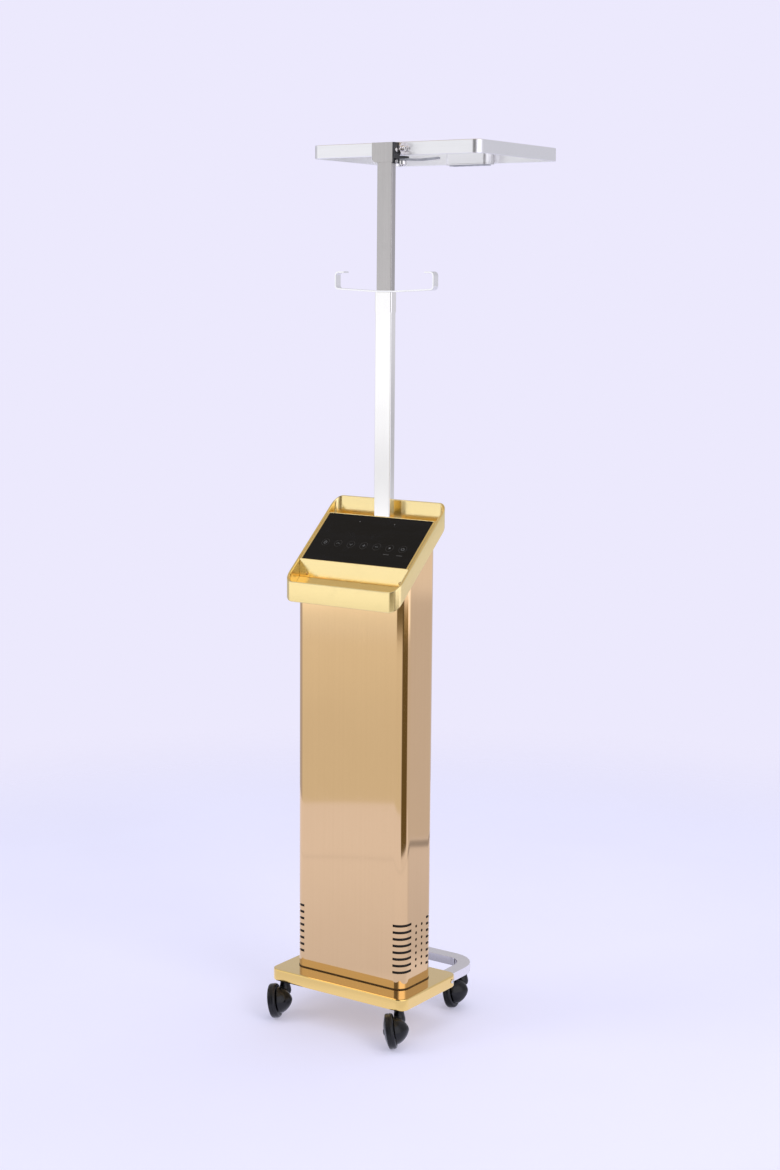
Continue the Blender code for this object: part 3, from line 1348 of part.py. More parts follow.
def make_ring():
    """The lead ring, with the lead box inside its rear bar."""
    half = RING_WIDTH / 2
    front = RING_FRONT - PIVOT_Y
    rear = front + RING_DEPTH
    low = -RING_HEIGHT / 2
    ring = wall_band(
        "ring_frame",
        (-half, front, low),
        (half, rear, low + RING_HEIGHT),
        RING_CORNER,
        RING_WALL,
        PALE_ALUMINIUM,
        RING,
    )
    round_edges(ring, RING_EDGE, 1)
    box_rear = rear - RING_WALL - GAP
    box_front = box_rear - LEAD_BOX_DEPTH
    box_half = LEAD_BOX_WIDTH / 2
    box_high = low + LEAD_BOX_HEIGHT - LEAD_COVER
    lead_box = put(
        "lead_box",
        rounded_block(
            "lead_box",
            (-box_half, box_front, low),
            (box_half, box_rear, box_high),
            LEAD_BOX_CORNER,
        ),
        PALE_ALUMINIUM,
        RING,
    )
    wall = LEAD_BOX_WALL
    room = rounded_block(
        "lead_box_room",
        (wall - box_half, box_front + wall, low - wall),
        (box_half - wall, box_rear - wall, box_high - wall),
        LEAD_BOX_CORNER - wall,
    )
    cut(lead_box, tool("lead_box_room", room, RING))
    cover = put(
        "lead_box_cover",
        rounded_block(
            "lead_box_cover",
            (-box_half, box_front, low - GAP - LEAD_COVER),
            (box_half, box_rear, low - GAP),
            LEAD_BOX_CORNER,
        ),
        PALE_ALUMINIUM,
        RING,
    )
    middle_y = (box_front + box_rear) / 2
    strip_half = LEAD_SOCKET_PITCH * LEAD_SOCKETS / 2
    strip_deep = LEAD_SOCKET_RADIUS + LEAD_SOCKET_LIP
    cover_low = low - GAP - LEAD_COVER
    slot = box(
        "socket_slot",
        (-strip_half - GAP, middle_y - strip_deep - GAP, cover_low - LEAD_COVER),
        (strip_half + GAP, middle_y + strip_deep + GAP, low + LEAD_COVER),
    )
    cut(cover, tool("socket_slot", slot, RING))
    strip = put(
        "lead_socket_strip",
        box(
            "lead_socket_strip",
            (-strip_half, middle_y - strip_deep, cover_low - GAP - LEAD_SOCKET_LIP / 2),
            (strip_half, middle_y + strip_deep, cover_low + LEAD_SOCKET_HEIGHT),
        ),
        BLACK_PLASTIC,
        RING,
    )
    lip = LEAD_SOCKET_LIP
    flange = box(
        "socket_flange_plate",
        (-strip_half - lip, middle_y - strip_deep - lip, cover_low - GAP - lip),
        (strip_half + lip, middle_y + strip_deep + lip, cover_low - GAP),
    )
    unite(strip, tool("socket_flange_plate", flange, RING))
    first = -LEAD_SOCKET_PITCH * (LEAD_SOCKETS - 1) / 2
    places = [(first + LEAD_SOCKET_PITCH * step, middle_y, cover_low) for step in range(LEAD_SOCKETS)]
    mouths = cylinders("socket_mouths", places, LEAD_SOCKET_RADIUS, LEAD_SOCKET_HEIGHT)
    cut(strip, tool("socket_mouths", mouths, RING))


def shade(angle=35):
    """Shade round faces smoothly and keep their rims sharp."""
    for obj in PARTS.objects:
        if obj.type == "MESH" and len(obj.data.polygons):
            obj.data.shade_smooth()
            obj.data.set_sharp_from_angle(angle=math.radians(angle))


make_base()
make_castors()
make_castor_stems()
make_column()
make_foot_frame()
make_transformer()
make_power_boards()
make_back_fittings()
make_console()
make_pole_socket()
make_lower_pole()
make_hinge(*make_upper_pole())
make_ring()
shade()
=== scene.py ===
"""Looks of a digital perm machine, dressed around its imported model.

A gold column on castors carries a sloped touch console and a telescopic mast with a ring for the heater
leads. Each class below is one sub-assembly: it holds its sizes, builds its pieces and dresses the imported
nodes. Metres, +Z up, and the operator stands on the -Y side.
"""

from __future__ import annotations

import functools
import json
import logging
import math
from dataclasses import dataclass
from enum import Enum
from typing import Iterable, Sequence

import bmesh
import bpy
from mathutils import Matrix, Vector


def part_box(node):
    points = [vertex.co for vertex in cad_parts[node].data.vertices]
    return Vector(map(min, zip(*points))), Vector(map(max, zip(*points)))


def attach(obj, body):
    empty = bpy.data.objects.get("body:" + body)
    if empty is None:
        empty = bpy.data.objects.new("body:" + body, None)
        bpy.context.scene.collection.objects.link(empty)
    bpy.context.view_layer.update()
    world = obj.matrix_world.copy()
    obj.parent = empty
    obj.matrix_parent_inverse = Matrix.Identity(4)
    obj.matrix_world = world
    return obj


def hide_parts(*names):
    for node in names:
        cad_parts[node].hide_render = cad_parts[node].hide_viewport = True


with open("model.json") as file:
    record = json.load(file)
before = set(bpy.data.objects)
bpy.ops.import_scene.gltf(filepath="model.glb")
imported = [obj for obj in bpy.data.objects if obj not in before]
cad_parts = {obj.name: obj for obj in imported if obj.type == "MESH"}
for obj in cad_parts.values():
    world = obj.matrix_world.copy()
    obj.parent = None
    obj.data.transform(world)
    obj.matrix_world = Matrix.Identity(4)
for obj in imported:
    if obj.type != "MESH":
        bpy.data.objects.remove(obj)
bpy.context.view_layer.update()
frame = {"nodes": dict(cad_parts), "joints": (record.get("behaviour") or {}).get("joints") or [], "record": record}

LOG = logging.getLogger("perm_machine")
TO_DEGREES = 180 / math.pi
SMOOTH_TURN = 32.0
GAP = 0.0001
SHARED_FRAME = Matrix.Identity(4)
Colour = tuple[float, float, float]
Place = tuple[float, float, float]
Pair = tuple[float, float]
Outline = Sequence[Pair]
Band = tuple[float, float, float, float]


class Grain(Enum):
    """The way a metal was brushed."""

    ALONG_X = (1, 0, 0)
    ALONG_Z = (0, 0, 1)
    BLASTED = (0, 0, 0)

    def scale(self, pitch: float, run: float) -> Place:
        """How often the streaks repeat in a metre.

        Args:
            pitch: the streaks' width in metres.
            run: the streaks' length, in widths.

        Returns:
            The repeats along X, Y and Z.
        """
        return tuple(1 / (pitch * (run if along else 1)) for along in self.value)


class Icon(Enum):
    """The plain signs on the touch panel."""

    POWER = "power"
    PLUS = "plus"
    MINUS = "minus"
    UP = "up"
    DOWN = "down"
    DOT = "dot"
    CLOCK = "clock"


class Wire:
    """A shader socket that takes part in Python arithmetic."""

    def __init__(self, sheet: Sheet, socket: bpy.types.NodeSocket) -> None:
        """Keep the socket and the sheet that it is on."""
        self.sheet = sheet
        self.socket = socket

    def _math(self, operation: str, first: Wire | float, second: Wire | float = 0.0) -> Wire:
        """Add one Math node.

        Args:
            operation: the node's operation.
            first: the upper input.
            second: the lower input.

        Returns:
            The node's result.
        """
        return self.sheet.add("ShaderNodeMath", {"operation": operation}, {0: first, 1: second})

    def __add__(self, other: Wire | float) -> Wire:
        """Sum."""
        return self._math("ADD", self, other)

    def __radd__(self, other: float) -> Wire:
        """Sum with a number in front."""
        return self._math("ADD", other, self)

    def __sub__(self, other: Wire | float) -> Wire:
        """Difference."""
        return self._math("SUBTRACT", self, other)

    def __rsub__(self, other: float) -> Wire:
        """Difference from a number."""
        return self._math("SUBTRACT", other, self)

    def __mul__(self, other: Wire | float) -> Wire:
        """Product."""
        return self._math("MULTIPLY", self, other)

    def __rmul__(self, other: float) -> Wire:
        """Product with a number in front."""
        return self._math("MULTIPLY", other, self)

    def __truediv__(self, other: Wire | float) -> Wire:
        """Quotient."""
        return self._math("DIVIDE", self, other)

    def __rtruediv__(self, other: float) -> Wire:
        """Quotient of a number."""
        return self._math("DIVIDE", other, self)

    def most(self, other: Wire | float) -> Wire:
        """The larger of two values."""
        return self._math("MAXIMUM", self, other)

    def far(self) -> Wire:
        """The value without its sign."""
        return self._math("ABSOLUTE", self)

    def turn(self, other: Wire) -> Wire:
        """The angle in degrees of a direction with this as its rise and the other as its run."""
        return self._math("ARCTAN2", self, other) * TO_DEGREES

    def lift(self) -> Wire:
        """The angle in degrees of a direction with this height."""
        return self._math("ARCSINE", self) * TO_DEGREES

    def fraction(self) -> Wire:
        """The value without its whole part."""
        return self._math("FRACT", self)

    def rise(self, low: float, high: float) -> Wire:
        """A smooth step from 0 at the low value to 1 at the high value."""
        settings = {"interpolation_type": "SMOOTHSTEP", "clamp": True}
        return self.sheet.add("ShaderNodeMapRange", settings, {0: self, 1: low, 2: high, 3: 0.0, 4: 1.0})

    def band(self, low: float, high: float, soft: float) -> Wire:
        """1 between two values and 0 outside them, with soft ends."""
        return self.rise(low - soft, low + soft) * (1 - self.rise(high - soft, high + soft))

    def other(self, name: str) -> Wire:
        """Another output of the same node."""
        return Wire(self.sheet, self.socket.node.outputs[name])


class Sheet:
    """One node tree, and the few ways nodes are put on it."""

    def __init__(self, tree: bpy.types.NodeTree) -> None:
        """Start from an empty tree."""
        self.tree = tree
        self.tree.nodes.clear()

    def add(
        self, kind: str, settings: dict | None = None, inputs: dict | None = None, output: int | str = 0
    ) -> Wire | None:
        """Add any node.

        Args:
            kind: the node's type.
            settings: its own settings, set first.
            inputs: values or wires for its sockets, by name or number.
            output: the output to hand back.

        Returns:
            The chosen output, or nothing for a node without one.
        """
        node = self.tree.nodes.new(kind)
        for name, value in (settings or {}).items():
            setattr(node, name, value)
        for name, value in (inputs or {}).items():
            if isinstance(value, Wire):
                self.tree.links.new(value.socket, node.inputs[name])
            else:
                node.inputs[name].default_value = value
        return Wire(self, node.outputs[output]) if node.outputs else None

    def place(self) -> Wire:
        """The point on the piece, in metres of the shared frame."""
        return self.add("ShaderNodeTexCoord", output="Object")

    def parts(self, vector: Wire) -> tuple[Wire, Wire, Wire]:
        """The three numbers of a vector."""
        x = self.add("ShaderNodeSeparateXYZ", None, {0: vector})
        return x, x.other("Y"), x.other("Z")

    def scaled(self, vector: Wire, scale: Place) -> Wire:
        """A vector multiplied on each axis."""
        return self.add("ShaderNodeVectorMath", {"operation": "MULTIPLY"}, {0: vector, 1: scale})

    def dimmed(self, colour: Wire | Colour, level: Wire) -> Wire:
        """A colour multiplied by a level."""
        return self.add("ShaderNodeVectorMath", {"operation": "SCALE"}, {0: colour, "Scale": level})

    def noise(self, vector: Wire, scale: Place | float, detail: float = 2.0, rough: float = 0.5) -> Wire:
        """Soft noise.

        Args:
            vector: the point.
            scale: repeats in a metre, on each axis or on all.
            detail: octaves.
            rough: how strong the finer octaves are.

        Returns:
            A value about 0.5.
        """
        if not isinstance(scale, float):
            vector = self.scaled(vector, scale)
            scale = 1.0
        inputs = {"Vector": vector, "Scale": scale, "Detail": detail, "Roughness": rough}
        return self.add("ShaderNodeTexNoise", None, inputs)

    def cells(self, vector: Wire, scale: float, feature: str = "F1") -> Wire:
        """Distance in a field of cells."""
        inputs = {"Vector": vector, "Scale": scale}
        return self.add("ShaderNodeTexVoronoi", {"feature": feature}, inputs, "Distance")

    def blend(self, first: Wire | Colour, second: Wire | Colour, share: Wire) -> Wire:
        """Two colours mixed.

        Args:
            first: the colour at 0.
            second: the colour at 1.
            share: the part of the second.

        Returns:
            The mixed colour.
        """
        ends = [value if isinstance(value, Wire) else (*value, 1.0) for value in (first, second)]
        settings = {"data_type": "RGBA", "clamp_factor": True}
        return self.add("ShaderNodeMix", settings, {0: share, 6: ends[0], 7: ends[1]}, 2)

    def bump(self, height: Wire, reach: float, normal: Wire | None = None) -> Wire:
        """A normal from a height.

        Args:
            height: 0 to 1.
            reach: metres between 0 and 1.
            normal: a finer normal that it is added to.

        Returns:
            The normal.
        """
        inputs = {"Strength": 1.0, "Distance": reach, "Height": height}
        if normal:
            inputs["Normal"] = normal
        return self.add("ShaderNodeBump", None, inputs)

    def mix(self, first: Wire, second: Wire, share: Wire) -> Wire:
        """Two shaders mixed by the share of the second."""
        return self.add("ShaderNodeMixShader", None, {0: share, 1: first, 2: second})

    def rays(self) -> tuple[Wire, Wire]:
        """1 for rays from the camera, and 1 for rays that a surface mirrors or lets through."""
        camera = self.add("ShaderNodeLightPath", output="Is Camera Ray")
        return camera, camera.other("Is Glossy Ray").most(camera.other("Is Transmission Ray"))

    def principled(self, inputs: dict) -> Wire:
        """The surface shader."""
        return self.add("ShaderNodeBsdfPrincipled", None, inputs)

    def end(self, surface: Wire, world: bool = False) -> None:
        """Join the surface to the output."""
        kind = "ShaderNodeOutputWorld" if world else "ShaderNodeOutputMaterial"
        self.add(kind, None, {"Surface": surface})


@dataclass(frozen=True)
class Finish:
    """What every finish has.

    Attributes:
        name: the material's name.
        colour: the main colour.
        shade: the colour of the darker places.
        roughness: the middle roughness.
    """

    name: str
    colour: Colour
    shade: Colour
    roughness: float

    @functools.cache
    def material(self) -> bpy.types.Material:
        """Make the material, once.

        Returns:
            The material.
        """
        made = bpy.data.materials.new(self.name)
        made.use_nodes = True
        sheet = Sheet(made.node_tree)
        sheet.end(sheet.principled(self.sockets(sheet)))
        made.diffuse_color = (*self.colour, 1.0)
        return made

    def sockets(self, sheet: Sheet) -> dict:
        """What goes on the surface shader's sockets."""
        raise NotImplementedError


@dataclass(frozen=True)
class Metal(Finish):
    """Brushed or blasted metal, with handling marks.

    Attributes:
        grain: the brushing's direction.
        pitch: the streaks' width in metres.
        run: the streaks' length in widths.
        streak: how far streaks move the roughness.
        smudge: how far handling moves the roughness.
        tone: how much of the shade the streaks show.
        relief: depth of the streaks in metres.
        wave: depth of the sheet's own unevenness in metres.
        coat: weight of a clear coat.
    """

    grain: Grain = Grain.BLASTED
    pitch: float = 0.0005
    run: float = 1.0
    streak: float = 0.06
    smudge: float = 0.05
    tone: float = 0.5
    relief: float = 0.000004
    wave: float = 0.0
    coat: float = 0.0

    def sockets(self, sheet: Sheet) -> dict:
        """Streaks along the grain, clouds, handling marks and, where it has one, the sheet's wave.

        Args:
            sheet: the material's sheet.

        Returns:
            What goes on the surface shader's sockets.
        """
        place = sheet.place()
        streak = sheet.noise(place, self.grain.scale(self.pitch, self.run), 3.0, 0.6)
        broad = sheet.noise(place, self.grain.scale(self.pitch * 9, self.run * 0.4), 2.0)
        cloud = sheet.noise(place, 11.0, 4.0, 0.6)
        touch = sheet.noise(place, 38.0, 3.0).rise(0.55, 0.75)
        share = (streak * 0.55 + broad * 0.45).rise(0.32, 0.68) * self.tone + cloud * (1 - self.tone)
        rough = self.roughness + (streak - 0.5) * self.streak + (cloud * touch - 0.15) * self.smudge
        normal = sheet.bump(streak, self.relief)
        if self.wave:
            normal = sheet.bump(sheet.noise(place, 4.5, 1.0), self.wave, normal)
        return {
            "Base Color": sheet.blend(self.shade, self.colour, share),
            "Metallic": 1.0,
            "Roughness": rough.most(0.03),
            "Normal": normal,
            "Coat Weight": self.coat,
            "Coat Roughness": 0.08,
        }


@dataclass(frozen=True)
class Moulding(Finish):
    """Moulded plastic or rubber, with a fine skin, scuffs and dust.

    Attributes:
        skin: depth of the moulded skin in metres.
        scuff: how far scuffs move the roughness.
        dust: how much dust lies on faces that look up.
    """

    skin: float = 0.00001
    scuff: float = 0.2
    dust: float = 0.12

    def sockets(self, sheet: Sheet) -> dict:
        """A fine skin, scuffs, and dust on what looks up.

        Args:
            sheet: the material's sheet.

        Returns:
            What goes on the surface shader's sockets.
        """
        place = sheet.place()
        skin = sheet.noise(place, 1900.0, 2.0)
        scuff = sheet.noise(place, 120.0, 5.0, 0.7).rise(0.56, 0.7)
        cloud = sheet.noise(place, 45.0, 3.0)
        up = sheet.parts(sheet.add("ShaderNodeNewGeometry", output="Normal"))[2]
        dust = up.rise(0.35, 1.0) * sheet.noise(place, 260.0, 4.0).rise(0.42, 0.7) * self.dust
        colour = sheet.blend(self.shade, self.colour, cloud.rise(0.3, 0.7) + scuff * 0.6)
        return {
            "Base Color": sheet.blend(colour, (0.32, 0.31, 0.30), dust),
            "Roughness": self.roughness + scuff * self.scuff + dust * 1.5 + (skin - 0.5) * 0.06,
            "Specular IOR Level": 0.34,
            "Normal": sheet.bump(skin, self.skin),
        }


@dataclass(frozen=True)
class Coated(Finish):
    """Dark coated steel: a fine pebbled coat, rubbed through to metal in small places.

    Attributes:
        bare: the rubbed metal's colour.
        rub: how much is rubbed, 0 to 1.
    """

    bare: Colour = (0.45, 0.44, 0.43)
    rub: float = 0.25

    def sockets(self, sheet: Sheet) -> dict:
        """Pebbles, clouds and small rubbed places.

        Args:
            sheet: the material's sheet.

        Returns:
            What goes on the surface shader's sockets.
        """
        place = sheet.place()
        pebble = sheet.cells(place, 1500.0)
        cloud = sheet.noise(place, 60.0, 4.0, 0.65)
        worn = sheet.noise(place, 340.0, 5.0, 0.7).rise(0.62, 0.72) * self.rub
        paint = sheet.blend(self.shade, self.colour, cloud.rise(0.3, 0.7))
        return {
            "Base Color": sheet.blend(paint, self.bare, worn),
            "Metallic": 0.35 + worn * 0.6,
            "Roughness": self.roughness + (cloud - 0.5) * 0.16 - worn * 0.08,
            "Normal": sheet.bump(pebble, 0.00002),
        }


@dataclass(frozen=True)
class PanelGlass(Finish):
    """Black back-painted glass with faint wiping marks and fingerprints."""

    def sockets(self, sheet: Sheet) -> dict:
        """Wiping marks, and ridged prints in a few places.

        Args:
            sheet: the material's sheet.

        Returns:
            What goes on the surface shader's sockets.
        """
        place = sheet.place()
        wipe = sheet.noise(place, (9.0, 70.0, 70.0), 4.0, 0.6).rise(0.4, 0.75)
        print_mask = sheet.noise(place, 42.0, 2.0).rise(0.6, 0.72)
        ridges = sheet.noise(place, (900.0, 260.0, 260.0), 1.0).rise(0.4, 0.6)
        grime = print_mask * ridges
        return {
            "Base Color": sheet.blend(self.shade, self.colour, wipe * 0.6 + grime * 0.4),
            "Roughness": self.roughness + wipe * 0.05 + grime * 0.12,
            "Specular IOR Level": 0.15,
        }


@dataclass(frozen=True)
class Ink(Finish):
    """Silk-screened ink, a little uneven."""

    def sockets(self, sheet: Sheet) -> dict:
        """The printing screen's mesh, and patches of thinner ink.

        Args:
            sheet: the material's sheet.

        Returns:
            What goes on the surface shader's sockets.
        """
        place = sheet.place()
        mesh = sheet.cells(place, 3200.0)
        patch = sheet.noise(place, 420.0, 3.0)
        return {
            "Base Color": sheet.blend(self.shade, self.colour, patch.rise(0.35, 0.6)),
            "Roughness": self.roughness + (patch - 0.5) * 0.2,
            "Normal": sheet.bump(mesh, 0.000008),
        }


@dataclass(frozen=True)
class Layered(Finish):
    """A stack of plates or turns of tape.

    Attributes:
        pitch: one layer in metres.
        axis: the number of the stack's axis, 0 to 2.
        metallic: how metallic the layers are.
    """

    pitch: float = 0.0005
    axis: int = 1
    metallic: float = 0.0

    def sockets(self, sheet: Sheet) -> dict:
        """Seams between the layers, and stains.

        Args:
            sheet: the material's sheet.

        Returns:
            What goes on the surface shader's sockets.
        """
        place = sheet.place()
        along = sheet.parts(place)[self.axis]
        layer = (along / self.pitch).fraction()
        seam = layer.band(0.12, 0.88, 0.1)
        stain = sheet.noise(place, 70.0, 4.0, 0.65)
        return {
            "Base Color": sheet.blend(self.shade, self.colour, seam * (0.4 + stain * 0.9)),
            "Metallic": self.metallic,
            "Roughness": self.roughness + (stain - 0.5) * 0.25,
            "Normal": sheet.bump(seam, self.pitch * 0.15),
        }


@dataclass(frozen=True)
class Board(Finish):
    """A circuit board: solder mask over a net of tracks, with tinned pads.

    Attributes:
        tin: the pads' colour.
    """

    tin: Colour = (0.6, 0.6, 0.58)

    def sockets(self, sheet: Sheet) -> dict:
        """Tracks under the mask, and pads.

        Args:
            sheet: the material's sheet.

        Returns:
            What goes on the surface shader's sockets.
        """
        place = sheet.place()
        track = sheet.cells(place, 190.0, "DISTANCE_TO_EDGE").rise(0.05, 0.09)
        pads = 1 - sheet.cells(place, 330.0).rise(0.12, 0.2)
        mask = sheet.blend(self.shade, self.colour, track)
        return {
            "Base Color": sheet.blend(mask, self.tin, pads * 0.8),
            "Metallic": pads * 0.8,
            "Roughness": self.roughness - pads * 0.15,
            "Normal": sheet.bump(1 - track, 0.00003),
        }


LACQUERED_GOLD = Metal(
    "lacquered_gold", (0.800, 0.557, 0.296), (0.760, 0.520, 0.270), 0.06, Grain.ALONG_Z, run=300.0,
    streak=0.03, smudge=0.04, tone=0.35, relief=0.000001, wave=0.0003, coat=0.25,
)
CONSOLE_GOLD = Metal(
    "console_gold", (0.985, 0.815, 0.415), (0.945, 0.755, 0.365), 0.20, tone=0.45, relief=0.000005
)
BASE_GOLD = Metal(
    "base_gold", (0.930, 0.655, 0.200), (0.880, 0.600, 0.170), 0.12, Grain.ALONG_X, 0.0006, 160.0,
    smudge=0.06, coat=1.0,
)
LOWER_STEEL = Metal(
    "lower_tube_steel", (0.985, 0.975, 0.960), (0.930, 0.920, 0.905), 0.13, Grain.ALONG_Z, 0.0004, 220.0,
    streak=0.08,
)
UPPER_STEEL = Metal(
    "upper_tube_steel", (0.600, 0.580, 0.570), (0.500, 0.485, 0.475), 0.30, Grain.ALONG_Z, 0.0004, 220.0,
    streak=0.10, smudge=0.06,
)
PALE_METAL = Metal(
    "pale_aluminium_bar", (0.965, 0.965, 0.985), (0.910, 0.910, 0.925), 0.30, Grain.ALONG_X, run=140.0
)
BAR_METAL = Metal(
    "rear_bar_aluminium", (0.880, 0.850, 0.860), (0.800, 0.770, 0.780), 0.14, pitch=0.0006, relief=0.000006
)
HOOK_METAL = Metal(
    "hook_pale_steel", (0.985, 0.985, 1.000), (0.950, 0.950, 0.965), 0.22, Grain.ALONG_X, run=140.0
)
BRIGHT_PLATE = Metal(
    "bright_plated", (0.860, 0.850, 0.840), (0.740, 0.730, 0.720), 0.14,
    pitch=0.0007, streak=0.05, smudge=0.08, relief=0.000003,
)
GOLD_PLATE = Metal(
    "gold_plated_screw", (0.830, 0.610, 0.290), (0.700, 0.480, 0.200), 0.20,
    pitch=0.0007, streak=0.05, smudge=0.08, relief=0.000003,
)
DARK_COAT = Coated("dark_coated_steel", (0.050, 0.050, 0.054), (0.026, 0.026, 0.028), 0.36)
LEVER_COAT = Coated("lever_grey_coat", (0.400, 0.400, 0.430), (0.300, 0.300, 0.325), 0.34, rub=0.15)
STRIP_GREY = Moulding("pale_grey_moulding", (0.620, 0.620, 0.650), (0.540, 0.540, 0.565), 0.42, skin=0.000008)
BLACK_MOULDING = Moulding(
    "black_moulding", (0.006, 0.006, 0.007), (0.004, 0.004, 0.005), 0.17, skin=0.000004, scuff=0.12, dust=0.03
)
WHEEL_RUBBER = Moulding(
    "wheel_tread", (0.009, 0.009, 0.011), (0.006, 0.006, 0.007), 0.28, scuff=0.15, dust=0.04
)
# Painted shade: a dark brown strip that stands for the dark gap and contact shadow where the column meets the base
# plate.
FOOT_PAINTED_SHADE = Moulding(
    "foot_painted_shade", (0.095, 0.052, 0.016), (0.060, 0.032, 0.010), 0.50, skin=0.00002
)
# Painted shade: a near-black brown sheet that stands for the shade inside the column behind its slots.
SLOT_PAINTED_SHADE = Moulding("slot_painted_shade_finish", (0.010, 0.006, 0.003), (0.007, 0.004, 0.002), 0.60)
TOUCH_GLASS = PanelGlass("touch_panel_glass", (0.0055, 0.0058, 0.0075), (0.0038, 0.0042, 0.0052), 0.18)
MARK_INK = Ink("touch_mark_ink", (0.15, 0.15, 0.15), (0.10, 0.10, 0.10), 0.4)
FAINT_INK = Ink("faint_mark_ink", (0.030, 0.030, 0.031), (0.022, 0.022, 0.023), 0.4)
SWITCH_INK = Ink("switch_mark_ink", (0.80, 0.80, 0.78), (0.60, 0.60, 0.58), 0.45)
CORE_IRON = Layered("core_plates", (0.20, 0.20, 0.21), (0.07, 0.065, 0.06), 0.45, metallic=0.8)
WINDING = Layered("winding_tape_turns", (0.58, 0.33, 0.08), (0.34, 0.17, 0.03), 0.38, pitch=0.0085, axis=2)
GREEN_BOARD = Board("green_board", (0.020, 0.150, 0.065), (0.030, 0.230, 0.090), 0.32)


class Sketch:
    """A mesh under construction."""

    def __init__(self) -> None:
        """Start with nothing."""
        self.mesh = bmesh.new()

    def wall(self, rings: Sequence[Sequence[Vector]], closed: bool) -> list[list[bmesh.types.BMVert]]:
        """Skin a row of rings of equal length, without caps.

        Args:
            rings: points round each section.
            closed: whether the last ring joins the first.

        Returns:
            The new corners, ring by ring.
        """
        rows = [[self.mesh.verts.new(point) for point in ring] for ring in rings]
        count = len(rows[0])
        for first, second in zip(rows, rows[1:] + rows[:1] if closed else rows[1:]):
            for step in range(count):
                after = (step + 1) % count
                self.mesh.faces.new((first[step], first[after], second[after], second[step]))
        return rows

    def solid(self, rings: Sequence[Sequence[Vector]]) -> None:
        """Skin a row of rings of equal length, with a cap on each end.

        Args:
            rings: points round each section.
        """
        rows = self.wall(rings, False)
        self.mesh.faces.new(list(reversed(rows[0])))
        self.mesh.faces.new(rows[-1])

    def prism(self, outline: Outline, low: float, high: float, at: Matrix) -> None:
        """A flat outline given a thickness.

        Args:
            outline: points in the frame's XY plane.
            low: the lower face's height.
            high: the upper face's height.
            at: the frame.
        """
        self.solid([[at @ Vector((x, y, z)) for x, y in outline] for z in (low, high)])

    def box(self, low: Place | Vector, high: Place | Vector) -> None:
        """A box between two corners."""
        outline = [(low[0], low[1]), (high[0], low[1]), (high[0], high[1]), (low[0], high[1])]
        self.prism(outline, low[2], high[2], SHARED_FRAME)

    def lathe(self, section: Outline, steps: int, at: Matrix) -> None:
        """A section turned about the frame's Z axis.

        Args:
            section: radius and height of each point; a run that starts and ends on the axis is closed by it.
            steps: points round the turn.
            at: the frame.
        """
        on_axis = max(section[0][0], section[-1][0]) < 1e-9
        rings = []
        for radius, height in section[1:-1] if on_axis else section:
            rings.append([at @ Vector((x, y, height)) for x, y in circle(radius, steps)])
        rows = self.wall(rings, not on_axis)
        if on_axis:
            for row, (_, height) in ((rows[0], section[0]), (rows[-1], section[-1])):
                tip = self.mesh.verts.new(at @ Vector((0, 0, height)))
                for step in range(steps):
                    self.mesh.faces.new((row[step], row[(step + 1) % steps], tip))

    def band(self, inner: Outline, outer: Outline, low: float, high: float, at: Matrix) -> None:
        """A closed band between two outlines of equal length.

        Args:
            inner: the inner outline.
            outer: the outer outline.
            low: the lower face's height.
            high: the upper face's height.
            at: the frame.
        """
        rings = []
        for (ax, ay), (bx, by) in zip(inner, outer):
            corners = ((ax, ay, low), (bx, by, low), (bx, by, high), (ax, ay, high))
            rings.append([at @ Vector(corner) for corner in corners])
        self.wall(rings, True)

    def take(self, source: bpy.types.Mesh) -> None:
        """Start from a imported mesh: join its split corners and clear the lines on its flat faces.

        Args:
            source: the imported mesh.
        """
        self.mesh.from_mesh(source)
        bmesh.ops.remove_doubles(self.mesh, verts=self.mesh.verts, dist=2e-6)
        bmesh.ops.dissolve_limit(
            self.mesh, angle_limit=math.radians(0.4), verts=self.mesh.verts, edges=self.mesh.edges
        )

    def join(self, obj: bpy.types.Object) -> None:
        """Take in a finished object's mesh and remove the object."""
        self.mesh.from_mesh(obj.data)
        discard(obj)

    def soften(self, width: float, angle: float = 34.0, steps: int = 2) -> None:
        """Round every sharp edge.

        Args:
            width: how far the rounding reaches.
            angle: edges that turn more than this many degrees are rounded.
            steps: faces across the rounding.
        """
        limit = math.radians(angle)
        sharp = [edge for edge in self.mesh.edges if edge.calc_face_angle(0.0) > limit]
        bmesh.ops.bevel(
            self.mesh, geom=sharp, offset=width, segments=steps, profile=0.6, affect="EDGES",
            clamp_overlap=True,
        )

    def piece(self, name: str, finish: Finish, smooth: float = SMOOTH_TURN) -> bpy.types.Object:
        """The finished object.

        Args:
            name: the object's name.
            finish: its finish.
            smooth: edges that turn less than this many degrees are shaded smooth.

        Returns:
            The object, linked to the scene.
        """
        bmesh.ops.recalc_face_normals(self.mesh, faces=self.mesh.faces)
        smooth_faces(self.mesh, smooth)
        data = bpy.data.meshes.new(name)
        self.mesh.to_mesh(data)
        self.mesh.free()
        data.materials.append(finish.material())
        obj = bpy.data.objects.new(name, data)
        bpy.context.scene.collection.objects.link(obj)
        even_shading(obj)
        return obj


def smooth_faces(mesh: bmesh.types.BMesh, degrees: float) -> None:
    """Shade a mesh smooth across its blunt edges.

    Args:
        mesh: the mesh.
        degrees: edges that turn less than this are smooth.
    """
    for edge in mesh.edges:
        edge.smooth = edge.calc_face_angle(0.0) < math.radians(degrees)
    for face in mesh.faces:
        face.smooth = True


def even_shading(obj: bpy.types.Object) -> None:
    """Weigh an object's normals by its faces' sizes."""
    weighted = obj.modifiers.new("even_shading", "WEIGHTED_NORMAL")
    weighted.keep_sharp = True


def discard(obj: bpy.types.Object) -> None:
    """Remove an object and its mesh.

    Args:
        obj: the object.
    """
    data = obj.data
    bpy.data.objects.remove(obj)
    bpy.data.meshes.remove(data)


